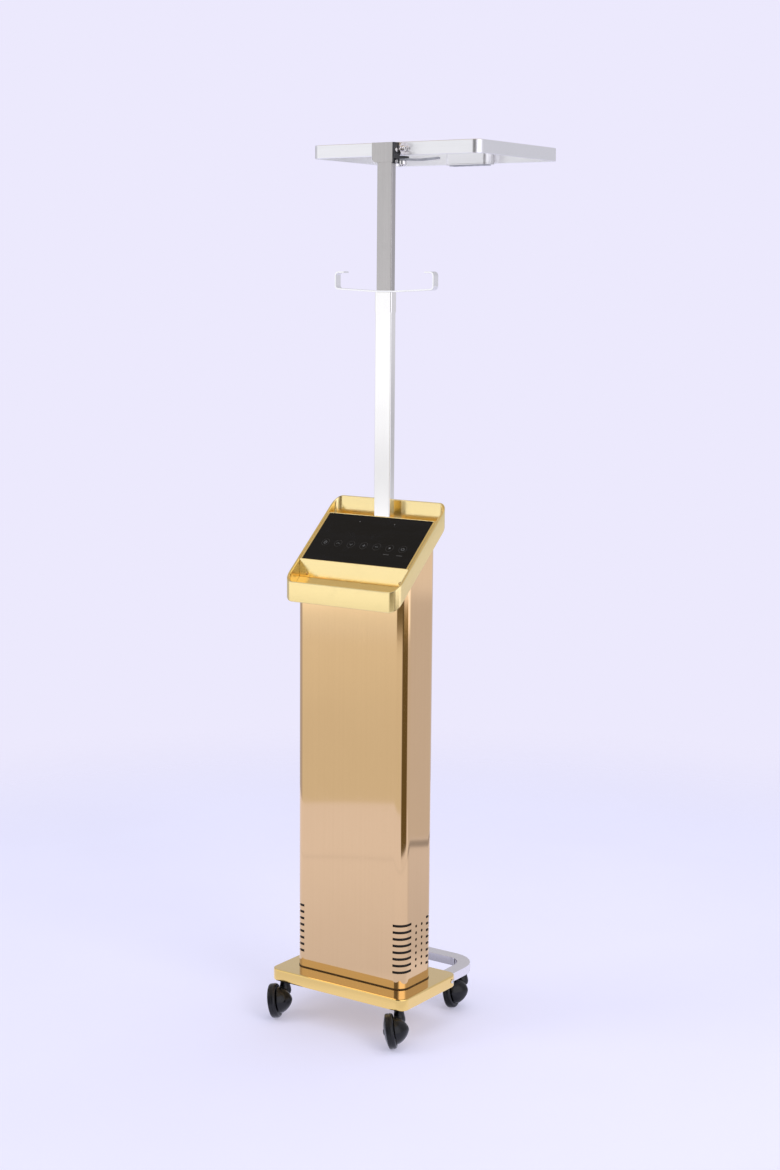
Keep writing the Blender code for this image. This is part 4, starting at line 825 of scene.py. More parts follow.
def settle(obj: bpy.types.Object) -> None:
    """Apply an object's modifiers, apart from its shading, which is removed.

    Args:
        obj: the object.
    """
    for modifier in [m for m in obj.modifiers if m.type == "WEIGHTED_NORMAL"]:
        obj.modifiers.remove(modifier)
    bpy.context.view_layer.update()
    evaluated = obj.evaluated_get(bpy.context.evaluated_depsgraph_get())
    mesh = bpy.data.meshes.new_from_object(evaluated)
    mesh.name = obj.name
    obj.modifiers.clear()
    old = obj.data
    obj.data = mesh
    bpy.data.meshes.remove(old)


def shade(obj: bpy.types.Object, smooth: float = SMOOTH_TURN) -> None:
    """Shade an object smooth across its blunt edges, and evenly.

    Args:
        obj: the object.
        smooth: edges that turn less than this many degrees are smooth.
    """
    mesh = bmesh.new()
    mesh.from_mesh(obj.data)
    smooth_faces(mesh, smooth)
    mesh.to_mesh(obj.data)
    mesh.free()
    even_shading(obj)


def carve(obj: bpy.types.Object, tool: bpy.types.Object) -> None:
    """Cut one object out of another.

    Args:
        obj: what is cut.
        tool: what is cut out, which is removed.
    """
    hole = obj.modifiers.new("cut", "BOOLEAN")
    hole.operation = "DIFFERENCE"
    hole.solver = "EXACT"
    hole.object = tool
    settle(obj)
    discard(tool)
    shade(obj)


def circle(radius: float, steps: int) -> list[Pair]:
    """Points round a circle."""
    angles = [2 * math.pi * step / steps for step in range(steps)]
    return [(radius * math.cos(a), radius * math.sin(a)) for a in angles]


def rounded(low: Pair, high: Pair, corner: float, steps: int) -> list[Pair]:
    """An outline of a rectangle with round corners.

    Args:
        low: the lower left corner.
        high: the upper right corner.
        corner: the corners' radius.
        steps: points on each corner, less one.

    Returns:
        The points, anticlockwise.
    """
    points = []
    centres = (
        (high[0] - corner, low[1] + corner, -90), (high[0] - corner, high[1] - corner, 0),
        (low[0] + corner, high[1] - corner, 90), (low[0] + corner, low[1] + corner, 180),
    )
    for x, y, start in centres:
        for step in range(steps + 1):
            turn = math.radians(start + 90 * step / steps)
            points.append((x + corner * math.cos(turn), y + corner * math.sin(turn)))
    return points


def facing(place: Place | Vector, axis: Place | Vector) -> Matrix:
    """A frame at a place with its Z along an axis."""
    turn = Vector((0, 0, 1)).rotation_difference(Vector(axis)).to_matrix().to_4x4()
    return Matrix.Translation(Vector(place)) @ turn


def node_middle(node: str) -> Vector:
    """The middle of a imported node's box."""
    low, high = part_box(node)
    return (low + high) / 2


def plan(node: str, inset: float, corner: float, steps: int) -> list[Pair]:
    """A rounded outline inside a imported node's box, seen from above, or outside it for an inset below 0."""
    low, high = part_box(node)
    return rounded((low.x + inset, low.y + inset), (high.x - inset, high.y - inset), corner, steps)


def joint(name: str) -> dict:
    """The record's joint of a name."""
    return next(found for found in frame["joints"] if found["name"] == name)


@dataclass
class Assembly:
    """What every sub-assembly does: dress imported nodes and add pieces."""

    def keep(
        self, obj: bpy.types.Object, body: str, slot: str, nodes: Iterable[str] = ()
    ) -> bpy.types.Object:
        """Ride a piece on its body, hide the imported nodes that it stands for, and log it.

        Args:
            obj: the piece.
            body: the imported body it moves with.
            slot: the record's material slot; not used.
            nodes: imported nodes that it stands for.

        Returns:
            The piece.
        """
        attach(obj, body)
        if nodes:
            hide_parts(*nodes)
        LOG.info("%s on %s", obj.name, body)
        return obj

    def body(self, node: str) -> str:
        """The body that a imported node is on."""
        groups = frame["record"]["behaviour"]["bodies"]
        return next(name for name, nodes in groups.items() if node in nodes)

    def slot(self, node: str) -> str:
        """The record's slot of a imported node."""
        return next(part["material_slot"] for part in frame["record"]["subparts"] if part["node"] == node)

    def skin(self, node: str, finish: Finish, edge: float = 0.0) -> bpy.types.Object:
        """Stand a smooth-shaded copy, with softened edges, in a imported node's place.

        Args:
            node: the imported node.
            finish: its finish.
            edge: the width of the softened edges, or 0.

        Returns:
            The new piece.
        """
        sketch = Sketch()
        sketch.take(frame["nodes"][node].data)
        if edge:
            sketch.soften(edge)
        made = sketch.piece(node + "_skin", finish)
        return self.keep(made, self.body(node), self.slot(node), [node])

    def screw(
        self, node: str, axis: Place, dome: float = 0.35, finish: Finish = BRIGHT_PLATE
    ) -> bpy.types.Object:
        """A cross-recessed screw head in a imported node's place.

        Args:
            node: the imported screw.
            axis: the way the head looks.
            dome: how much of the head's height is domed.
            finish: its finish.

        Returns:
            The new piece.
        """
        low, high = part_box(node)
        size = high - low
        way = Vector(axis)
        height = abs(size.dot(way))
        radius = (size - Vector([abs(v) * height for v in way])).length / math.sqrt(8)
        at = facing(node_middle(node) - way * height / 2, way)
        edge = height * (1 - dome)
        section = [(0, 0), (radius * 0.96, 0), (radius, 0.06 * height), (radius, edge)]
        for step in range(1, 9):
            turn = math.pi / 2 * step / 9
            section.append((radius * math.cos(turn * 0.9), edge + height * dome * math.sin(turn)))
        section.append((0, height))
        sketch = Sketch()
        sketch.lathe(section, 40, at)
        head = sketch.piece(node + "_head", finish)
        cross = Sketch()
        arm, width = 0.58 * radius, 0.17 * radius
        quarter = [(width, width), (width, arm), (-width, arm)]
        outline = []
        for _ in range(4):
            outline += quarter
            quarter = [(-y, x) for x, y in quarter]
        cross.prism(outline, height * 0.45, height * 1.5, at)
        carve(head, cross.piece(node + "_recess", DARK_COAT))
        return self.keep(head, self.body(node), self.slot(node), [node])


@dataclass
class Castor(Assembly):
    """One tilted-wheel castor.

    Attributes:
        corner: where it is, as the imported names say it.
        radius: the wheel's radius.
        half_width: half the wheel's tread.
        hub: how far the wheel's outer face stands from its middle plane.
        wheel_bore: radius of the wheel's hole for the axle.
        wheel_room: how far the neck keeps clear of the tread.
        hood: the hood's radius.
        hood_gap: how far the hood keeps clear of the wheel's face.
        hood_bore: radius of the hood's hole for the axle.
        depth: the hood's depth.
        lip: how far the hood's edge is rounded.
        fullness: the power of the hood's outline, 1 for a cone and 2 for a dome.
        grain: the size of the cubes that the hood and the neck are fused in.
        neck: the neck's radius.
        flare: the neck's radius where it meets the hood.
        neck_low: height of the neck's foot.
        neck_top: height of the neck's top.
        bore: radius of the hole for the stem.
        bore_low: height of that hole's end.
    """

    corner: str
    radius: float = 0.034
    half_width: float = 0.0075
    hub: float = 0.0125
    wheel_bore: float = 0.0034
    wheel_room: float = 0.0016
    hood: float = 0.0265
    hood_gap: float = 0.0008
    hood_bore: float = 0.0033
    depth: float = 0.026
    lip: float = 0.0006
    fullness: float = 1.55
    grain: float = 0.0006
    neck: float = 0.0096
    flare: float = 0.0128
    neck_low: float = 0.0395
    neck_top: float = 0.0694
    bore: float = 0.0050
    bore_low: float = 0.0464

    def build(self) -> None:
        """Build the hood and the wheel, and dress the stem and the axle."""
        name = "castor_" + self.corner
        roll = joint("roll_" + self.corner)
        axle = facing(roll["pos_m"], roll["axis"])
        self.wheel(name, axle)
        self.hood_shell(name, axle)
        self.skin(name + "_stem", BRIGHT_PLATE)
        self.skin(name + "_axle", DARK_COAT)

    def wheel(self, name: str, axle: Matrix) -> None:
        """A solid wheel with a crowned tread, a grooved face and a raised hub.

        Args:
            name: the castor's name.
            axle: a frame on the axle.
        """
        r, w, h = self.radius, self.half_width, self.hub
        hood_side = [(self.wheel_bore, w - 0.001), (0.40 * r, w - 0.001), (0.70 * r, w - 0.0028)]
        hood_side += [(0.80 * r, w - 0.0022), (0.86 * r, w), (0.93 * r, w - 0.0002)]
        tread = [(0.97 * r, w - 0.0014), (0.992 * r, w - 0.0030), (r, w - 0.0045), (r, 0.0010)]
        tread += [(0.985 * r, 0.0004), (0.985 * r, -0.0004), (r, -0.0010)]
        tread += [(r, 0.0032 - w), (0.992 * r, 0.0016 - w), (0.97 * r, 0.0004 - w)]
        open_side = [(0.94 * r, -w), (0.90 * r, -w - 0.0004), (0.89 * r, 0.0005 - w), (0.865 * r, 0.0003 - w)]
        open_side += [(0.855 * r, -w - 0.0008), (0.70 * r, -(w + h) / 2)]
        boss = [(0.55 * r, 0.0009 - h), (0.46 * r, 0.0002 - h), (0.38 * r, -h), (0.32 * r, -h)]
        boss += [(0.31 * r, 0.0007 - h), (0.26 * r, 0.0007 - h), (0.25 * r, -h), (self.wheel_bore, -h)]
        section = hood_side + tread + open_side + boss
        sketch = Sketch()
        sketch.lathe(section, 72, axle)
        made = sketch.piece(name + "_tyre", WHEEL_RUBBER, 40.0)
        self.keep(made, "wheel_" + self.corner, "black_plastic", [name + "_wheel"])

    def hood_shell(self, name: str, axle: Matrix) -> None:
        """A bell-shaped hood that runs into the neck that turns on the stem.

        Args:
            name: the castor's name.
            axle: a frame on the axle.
        """
        face = self.half_width + self.hood_gap
        power = 2 / self.fullness
        pocket = face + 0.65 * self.depth
        section = [(0.0, pocket), (self.hood_bore, pocket), (self.hood_bore, face)]
        section += [(self.hood - 0.0008, face), (self.hood, face + self.lip)]
        for step in range(1, 22):
            turn = math.pi / 2 * (1 - step / 22)
            reach = face + self.lip + self.depth * math.cos(turn) ** power
            section.append((self.hood * math.sin(turn) ** power, reach))
        section.append((0.0, face + self.lip + self.depth))
        sketch = Sketch()
        sketch.lathe(section, 72, axle)
        sketch.join(self.neck_post(name, axle, face))
        made = sketch.piece(name + "_hood_shell", BLACK_MOULDING)
        fuse = made.modifiers.new("fuse", "REMESH")
        fuse.mode = "VOXEL"
        fuse.voxel_size = self.grain
        even = made.modifiers.new("even", "SMOOTH")
        even.factor = 0.5
        even.iterations = 10
        settle(made)
        shade(made, 60.0)
        self.keep(made, "castor_" + self.corner, "black_plastic", [name + "_hood"])

    def neck_post(self, name: str, axle: Matrix, face: float) -> bpy.types.Object:
        """The flared neck, cut clear of the wheel.

        Args:
            name: the castor's name.
            axle: a frame on the axle.
            face: the hood's face, along the axle.

        Returns:
            The neck.
        """
        swivel = joint("swivel_" + self.corner)["pos_m"]
        post = Matrix.Translation((swivel[0], swivel[1], 0))
        top, low, flare = self.neck_top, self.neck_low, self.flare
        section = [(0.0, self.bore_low), (self.bore, self.bore_low), (self.bore, top)]
        section += [(self.neck - 0.001, top), (self.neck, top - 0.001), (self.neck, top - 0.005)]
        section += [(self.neck + 0.0008, top - 0.010), (flare - 0.0008, top - 0.0155), (flare, top - 0.021)]
        section += [(flare - 0.001, low + 0.004), (flare - 0.004, low + 0.001), (flare - 0.007, low)]
        section.append((0.0, low))
        neck = Sketch()
        neck.lathe(section, 64, post)
        made = neck.piece(name + "_neck", BLACK_MOULDING)
        room = Sketch()
        reach = self.radius + self.wheel_room
        end = face + 0.0003
        room.lathe([(0.0, -reach), (reach, -reach), (reach, end), (0.0, end)], 96, axle)
        carve(made, room.piece(name + "_wheel_room", BLACK_MOULDING))
        return made


@dataclass
class Foot(Assembly):
    """The base plate, the bar behind it and their screws."""

    def build(self) -> None:
        """Dress the plate and the bar."""
        self.skin("base_plate", BASE_GOLD)
        self.skin("outrigger_bar", BAR_METAL, 0.0003)
        self.screw("outrigger_screw_left", (-1, 0, 0), 0.6)
        self.screw("outrigger_screw_right", (1, 0, 0), 0.6)


@dataclass
class Column(Assembly):
    """The column, painted shade at its foot and behind its slots, and the power parts in it.

    Attributes:
        corner: radius of the column's corners.
        wall: thickness of the column's wall.
        proud: how far the strip of painted shade stands out.
        shade_strip_height: height of the strip of painted shade.
        screen: levels of the lower and upper edges of the sheet of painted shade behind the slots.
    """

    corner: float = 0.022
    wall: float = 0.0015
    proud: float = 0.0005
    shade_strip_height: float = 0.0020
    screen: Pair = (0.121, 0.236)

    def build(self) -> None:
        """Dress the shell and what shows through its slots."""
        self.skin("column_shell", LACQUERED_GOLD)
        self.foot_shade_strip()
        self.slot_shade_sheet()
        self.skin("foot_frame", DARK_COAT)
        self.skin("transformer_core", CORE_IRON, 0.0006)
        self.skin("transformer_winding", WINDING, 0.0012)
        self.skin("transformer_cradle", DARK_COAT, 0.0004)
        self.skin("heat_sink", BAR_METAL, 0.0003)
        self.skin("power_board", GREEN_BOARD)
        self.skin("board_bracket", DARK_COAT)

    def foot_shade_strip(self) -> None:
        """A thin dark strip round the column's foot: painted shade for the gap and contact shadow at the base
        plate.
        """
        inner = plan("column_shell", 0.0, self.corner, 12)
        outer = plan("column_shell", -self.proud, self.corner + self.proud, 12)
        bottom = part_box("base_plate")[1].z
        sketch = Sketch()
        sketch.band(inner, outer, bottom + GAP, bottom + self.shade_strip_height, SHARED_FRAME)
        self.keep(sketch.piece("column_foot_painted_shade", FOOT_PAINTED_SHADE), "pedestal", "black_plastic")

    def slot_shade_sheet(self) -> None:
        """A thin dark sheet inside the wall, behind the slots and the holes: painted shade for the dark inside of
        the column.
        """
        insets = (self.wall + 0.0010, self.wall + 0.0004)
        outlines = [plan("column_shell", inset, self.corner - inset, 12) for inset in insets]
        sketch = Sketch()
        sketch.band(*outlines, *self.screen, SHARED_FRAME)
        self.keep(sketch.piece("slot_shade_sheet", SLOT_PAINTED_SHADE), "pedestal", "dark_steel")


@dataclass
class Console(Assembly):
    """The sloped tray, its deck and the touch panel.

    Attributes:
        slope: the panel's slope.
        marks: how many touch marks there are across the panel.
        mark_pitch: their distance apart.
        mark_row: the marks' distance behind the glass's front edge, along Y.
        lamp_row: the lamps' distance behind it.
        lamp_x: the lamps' distance from the middle.
        lamp: radius of a lamp.
        ring: radius of the ring round a mark.
        sign_size: half the size of a sign.
        dot: radius of the dot sign.
        patch: half the length and half the width of the patches under the last signs.
        patch_drop: the patches' distance below their signs.
        line: width of the printed lines.
        ink: levels of the ink's lower and upper faces over the glass.
    """

    slope: float = math.radians(41.25)
    marks: int = 7
    mark_pitch: float = 0.0303
    mark_row: float = 0.0344
    lamp_row: float = 0.0794
    lamp_x: float = 0.041
    lamp: float = 0.0011
    ring: float = 0.0085
    sign_size: float = 0.0036
    dot: float = 0.0019
    patch: Pair = (0.007, 0.0011)
    patch_drop: float = 0.0125
    line: float = 0.0007
    ink: Pair = (0.00002, 0.00012)

    def build(self) -> None:
        """Dress the tray and draw the panel's marks."""
        self.skin("console_rim", CONSOLE_GOLD)
        self.skin("console_floor", CONSOLE_GOLD, 0.0004)
        self.skin("panel_deck", CONSOLE_GOLD, 0.0004)
        self.skin("touch_board", GREEN_BOARD)
        self.skin("touch_glass", TOUCH_GLASS, 0.0005)
        self.screw("deck_screw_left", (0, -1, 0), finish=GOLD_PLATE)
        self.screw("deck_screw_right", (0, -1, 0), finish=GOLD_PLATE)
        self.touch_marks()

    def panel(self, x: float, row: float) -> Matrix:
        """A frame on the glass, with its Z straight out of it.

        Args:
            x: its distance to the right of the middle.
            row: its distance behind the glass's front edge, along Y.

        Returns:
            The frame.
        """
        low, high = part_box("touch_glass")
        y = low.y + row
        top = high.z - (high.y - y) * math.tan(self.slope)
        return Matrix.Translation((x, y, top)) @ Matrix.Rotation(self.slope, 4, "X")

    def touch_marks(self) -> None:
        """Seven ringed signs, two small lamps and two faint patches under the last signs."""
        rings = Sketch()
        signs = Sketch()
        first = -(self.marks - 1) / 2 * self.mark_pitch
        icons = (Icon.CLOCK, Icon.UP, Icon.DOWN, Icon.PLUS, Icon.MINUS, Icon.DOT, Icon.POWER)
        for number, icon in enumerate(icons):
            at = self.panel(first + number * self.mark_pitch, self.mark_row)
            rings.band(circle(self.ring - 0.7 * self.line, 48), circle(self.ring, 48), *self.ink, at)
            self.sign(signs, icon, at)
        length, width = self.patch
        patch = rounded((-length, -width), (length, width), 0.001, 3)
        for number in (self.marks - 2, self.marks - 1):
            at = self.panel(first + number * self.mark_pitch, self.mark_row - self.patch_drop)
            rings.prism(patch, *self.ink, at)
        for side in (-1, 1):
            at = self.panel(side * self.lamp_x, self.lamp_row)
            signs.prism(circle(self.lamp, 20), *self.ink, at)
        self.keep(rings.piece("touch_rings", FAINT_INK), "pedestal", "black_glass")
        self.keep(signs.piece("touch_signs", MARK_INK), "pedestal", "black_glass")

    def bar(self, sketch: Sketch, start: Pair, end: Pair, at: Matrix) -> None:
        """A printed line between two points of the panel.

        Args:
            sketch: the mesh to add to.
            start: one end.
            end: the other end.
            at: the sign's frame.
        """
        run = Vector(end) - Vector(start)
        across = Vector((-run.y, run.x)).normalized() * self.line / 2
        corners = (Vector(start) - across, Vector(end) - across, Vector(end) + across, Vector(start) + across)
        sketch.prism([(p.x, p.y) for p in corners], *self.ink, at)

    def sign(self, sketch: Sketch, icon: Icon, at: Matrix) -> None:
        """One sign in the middle of its ring.

        Args:
            sketch: the mesh to add to.
            icon: the sign.
            at: the sign's frame.
        """
        r = self.sign_size
        if icon in (Icon.PLUS, Icon.MINUS):
            self.bar(sketch, (-r, 0), (r, 0), at)
        if icon is Icon.PLUS:
            self.bar(sketch, (0, self.line * 0.7), (0, r), at)
            self.bar(sketch, (0, -r), (0, -self.line * 0.7), at)
        if icon in (Icon.UP, Icon.DOWN):
            side = 1 if icon is Icon.UP else -1
            self.bar(sketch, (-r, -side * r * 0.5), (-0.0002, side * r * 0.5), at)
            self.bar(sketch, (0.0002, side * r * 0.5), (r, -side * r * 0.5), at)
        if icon is Icon.DOT:
            sketch.prism(circle(self.dot, 28), *self.ink, at)
        if icon is Icon.CLOCK:
            sketch.band(circle(r - self.line, 40), circle(r, 40), *self.ink, at)
            self.bar(sketch, (0, 0), (0, r * 0.62), at)
            self.bar(sketch, (self.line * 0.6, 0), (r * 0.5, 0), at)
        if icon is Icon.POWER:
            self.bar(sketch, (0, 0.2 * r), (0, 1.1 * r), at)
            angles = [math.radians(125 + 290 * step / 24) for step in range(25)]
            arcs = [[(q * math.cos(a), q * math.sin(a)) for a in angles] for q in (r - self.line, r)]
            sketch.prism(arcs[1] + arcs[0][::-1], *self.ink, at)


@dataclass
class Mast(Assembly):
    """The two tubes, the hook bar, the head with its hinge, the lever and the lock knob.

    Attributes:
        sleeve: height of the sleeve under the hook bar.
        sleeve_wall: thickness of the sleeve.
        sleeve_corners: radius of the sleeve's corners, inside and outside.
        knob_radius: radius of the lock knob.
        knob_length: its length.
        flutes: grip flutes round it.
        flute_depth: their depth, as a share of the radius.
        shank: radius of its threaded shank.
        socket: radius of the hexagon in the pivot bolt's head.
        socket_depth: the hexagon's depth.
    """

    sleeve: float = 0.038
    sleeve_wall: float = 0.0010
    sleeve_corners: Pair = (0.0016, 0.0025)
    knob_radius: float = 0.009
    knob_length: float = 0.012
    flutes: int = 20
    flute_depth: float = 0.05
    shank: float = 0.003
    socket: float = 0.0029
    socket_depth: float = 0.0035

    def build(self) -> None:
        """Dress the mast."""
        self.skin("pole_socket", DARK_COAT, 0.0005)
        self.screw("socket_screw_left", (0, 1, 0))
        self.screw("socket_screw_right", (0, 1, 0))
        self.skin("lower_pole", LOWER_STEEL)
        self.skin("upper_pole", UPPER_STEEL)
        self.skin("pole_head", UPPER_STEEL, 0.0006)
        self.skin("hook_bar", HOOK_METAL, 0.0004)
        self.skin("hinge_plate", DARK_COAT, 0.0004)
        self.screw("hinge_screw_lower", (1, 0, 0))
        self.screw("hinge_screw_upper", (1, 0, 0))
        self.pivot_bolt()
        self.skin("pivot_nut", BRIGHT_PLATE, 0.0004)
        self.skin("clamp_lever", LEVER_COAT, 0.0008)
        self.skin("lever_pin", BRIGHT_PLATE, 0.0005)
        self.hook_sleeve()
        self.lock_knob()

    def pivot_bolt(self) -> None:
        """The pivot bolt, with a hexagon socket in its head."""
        bolt = self.skin("pivot_bolt", BRIGHT_PLATE, 0.0004)
        end = node_middle("pivot_bolt")
        end.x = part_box("pivot_bolt")[1].x
        socket = Sketch()
        socket.prism(circle(self.socket, 6), -self.socket_depth, 0.001, facing(end, (1, 0, 0)))
        carve(bolt, socket.piece("bolt_socket", DARK_COAT))

    def hook_sleeve(self) -> None:
        """The thin sleeve that holds the hook bar on the lower tube."""
        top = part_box("lower_pole")[1].z
        inner = plan("lower_pole", -GAP, self.sleeve_corners[0], 6)
        outer = plan("lower_pole", -self.sleeve_wall, self.sleeve_corners[1], 6)
        sketch = Sketch()
        sketch.band(inner, outer, top - self.sleeve, top - GAP, SHARED_FRAME)
        sketch.soften(0.0002, 50.0, 1)
        self.keep(sketch.piece("hook_sleeve", LOWER_STEEL), "pedestal", "mast_steel")

    def lock_knob(self) -> None:
        """A fluted knob behind the lower tube, on its threaded shank."""
        lock = joint("lock_turn")
        at = facing(lock["pos_m"], lock["axis"])
        low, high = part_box("pole_lock_knob")
        length = high.y - low.y
        start = length - self.knob_length
        rings = []
        rows = [(0.90, start), (1.0, start + 0.001), (1.0, length - 0.003)]
        rows += [(0.93, length - 0.0012), (0.80, length)]
        for share, height in rows:
            ring = []
            for step in range(self.flutes * 6):
                turn = 2 * math.pi * step / (self.flutes * 6)
                dip = self.flute_depth * (0.5 - 0.5 * math.cos(turn * self.flutes))
                reach = self.knob_radius * (share - dip)
                ring.append(at @ Vector((reach * math.cos(turn), reach * math.sin(turn), height)))
            rings.append(ring)
        sketch = Sketch()
        sketch.solid(rings)
        shank = [(0, 0), (self.shank - 0.0002, 0), (self.shank, 0.0003), (self.shank, start), (0, start)]
        sketch.lathe(shank, 24, at)
        made = sketch.piece("lock_knob_grip", BLACK_MOULDING, 40.0)
        self.keep(made, "lock_screw", "black_plastic", ["pole_lock_knob"])


@dataclass
class LeadRing(Assembly):
    """The tilting ring and the box of lead sockets in it."""

    def build(self) -> None:
        """Dress the ring."""
        self.skin("ring_frame", PALE_METAL)
        self.skin("ring_ear_left", BAR_METAL, 0.0004)
        self.skin("ring_ear_right", BAR_METAL, 0.0004)
        self.skin("lead_box", PALE_METAL, 0.0005)
        self.skin("lead_box_cover", PALE_METAL, 0.0004)
        self.skin("lead_socket_strip", STRIP_GREY, 0.0003)


@dataclass
class BackPanel(Assembly):
    """The mains inlet and the switch on the column's back.

    Attributes:
        pin_width: width of an inlet pin.
        pin_height: height of an inlet pin.
        pin_length: length of an inlet pin.
        pin_root: how far the pins' roots are behind the inlet's face.
        screw_spread: distance between the inlet's screws.
        rocker_radius: radius of the rocker's face.
        rocker_rest: the rocker's turn at rest.
        mark_turn: the marks' turn from the middle of the face.
        mark: half a mark's height.
        ink: levels of the marks' lower and upper faces over the rocker.
    """

    pin_width: float = 0.002
    pin_height: float = 0.004
    pin_length: float = 0.012
    pin_root: float = 0.016
    screw_spread: float = 0.040
    rocker_radius: float = 0.0145
    rocker_rest: float = math.radians(10)
    mark_turn: float = math.radians(18)
    mark: float = 0.0022
    ink: Pair = (0.00003, 0.0001)

    def build(self) -> None:
        """Dress the inlet and the switch."""
        self.skin("mains_inlet", BLACK_MOULDING, 0.0005)
        self.skin("switch_bezel", BLACK_MOULDING, 0.0006)
        self.skin("rocker_button", BLACK_MOULDING, 0.0006)
        self.inlet_pins()
        self.inlet_screws()
        self.rocker_marks()

    def inlet_pins(self) -> None:
        """Three flat pins in the inlet's mouth."""
        low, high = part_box("mains_inlet")
        centre = (low + high) / 2
        root = high.y - self.pin_root
        sketch = Sketch()
        for x, z in ((-0.007, -0.002), (0.007, -0.002), (0.0, 0.002)):
            half = Vector((self.pin_width / 2, 0, self.pin_height / 2))
            spot = Vector((centre.x + x, root, centre.z + z))
            sketch.box(spot - half, spot + half + Vector((0, self.pin_length, 0)))
        sketch.soften(0.0004, 50.0)
        self.keep(sketch.piece("inlet_pins", BRIGHT_PLATE), "pedestal", "bright_screw")

    def inlet_screws(self) -> None:
        """A domed screw head at each end of the inlet's flange."""
        middle = node_middle("mains_inlet")
        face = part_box("mains_inlet")[1].y + GAP
        section = [(0, 0), (0.0029, 0), (0.0031, 0.0003), (0.0029, 0.0008), (0.0020, 0.0013), (0, 0.0016)]
        sketch = Sketch()
        for side in (-0.5, 0.5):
            spot = (middle.x + side * self.screw_spread, face, middle.z)
            sketch.lathe(section, 32, facing(spot, (0, 1, 0)))
        self.keep(sketch.piece("inlet_screws", BRIGHT_PLATE), "pedestal", "bright_screw")

    def rocker_marks(self) -> None:
        """A stroke on one half of the rocker and a ring on the other."""
        axis = Vector((*joint("rocker_tilt")["pos_m"][:2], node_middle("rocker_button").z))
        sketch = Sketch()
        for side in (-1, 1):
            turn = Matrix.Rotation(self.rocker_rest + side * self.mark_turn, 4, "Z")
            face = Matrix.Translation((0, self.rocker_radius, 0)) @ Matrix.Rotation(-math.pi / 2, 4, "X")
            at = Matrix.Translation(axis) @ turn @ face
            if side < 0:
                stroke = rounded((-0.0005, -self.mark), (0.0005, self.mark), 0.0002, 2)
                sketch.prism(stroke, *self.ink, at)
            else:
                sketch.band(circle(0.0014, 28), circle(self.mark, 28), *self.ink, at)
        self.keep(sketch.piece("rocker_marks", SWITCH_INK), "rocker", "black_plastic")


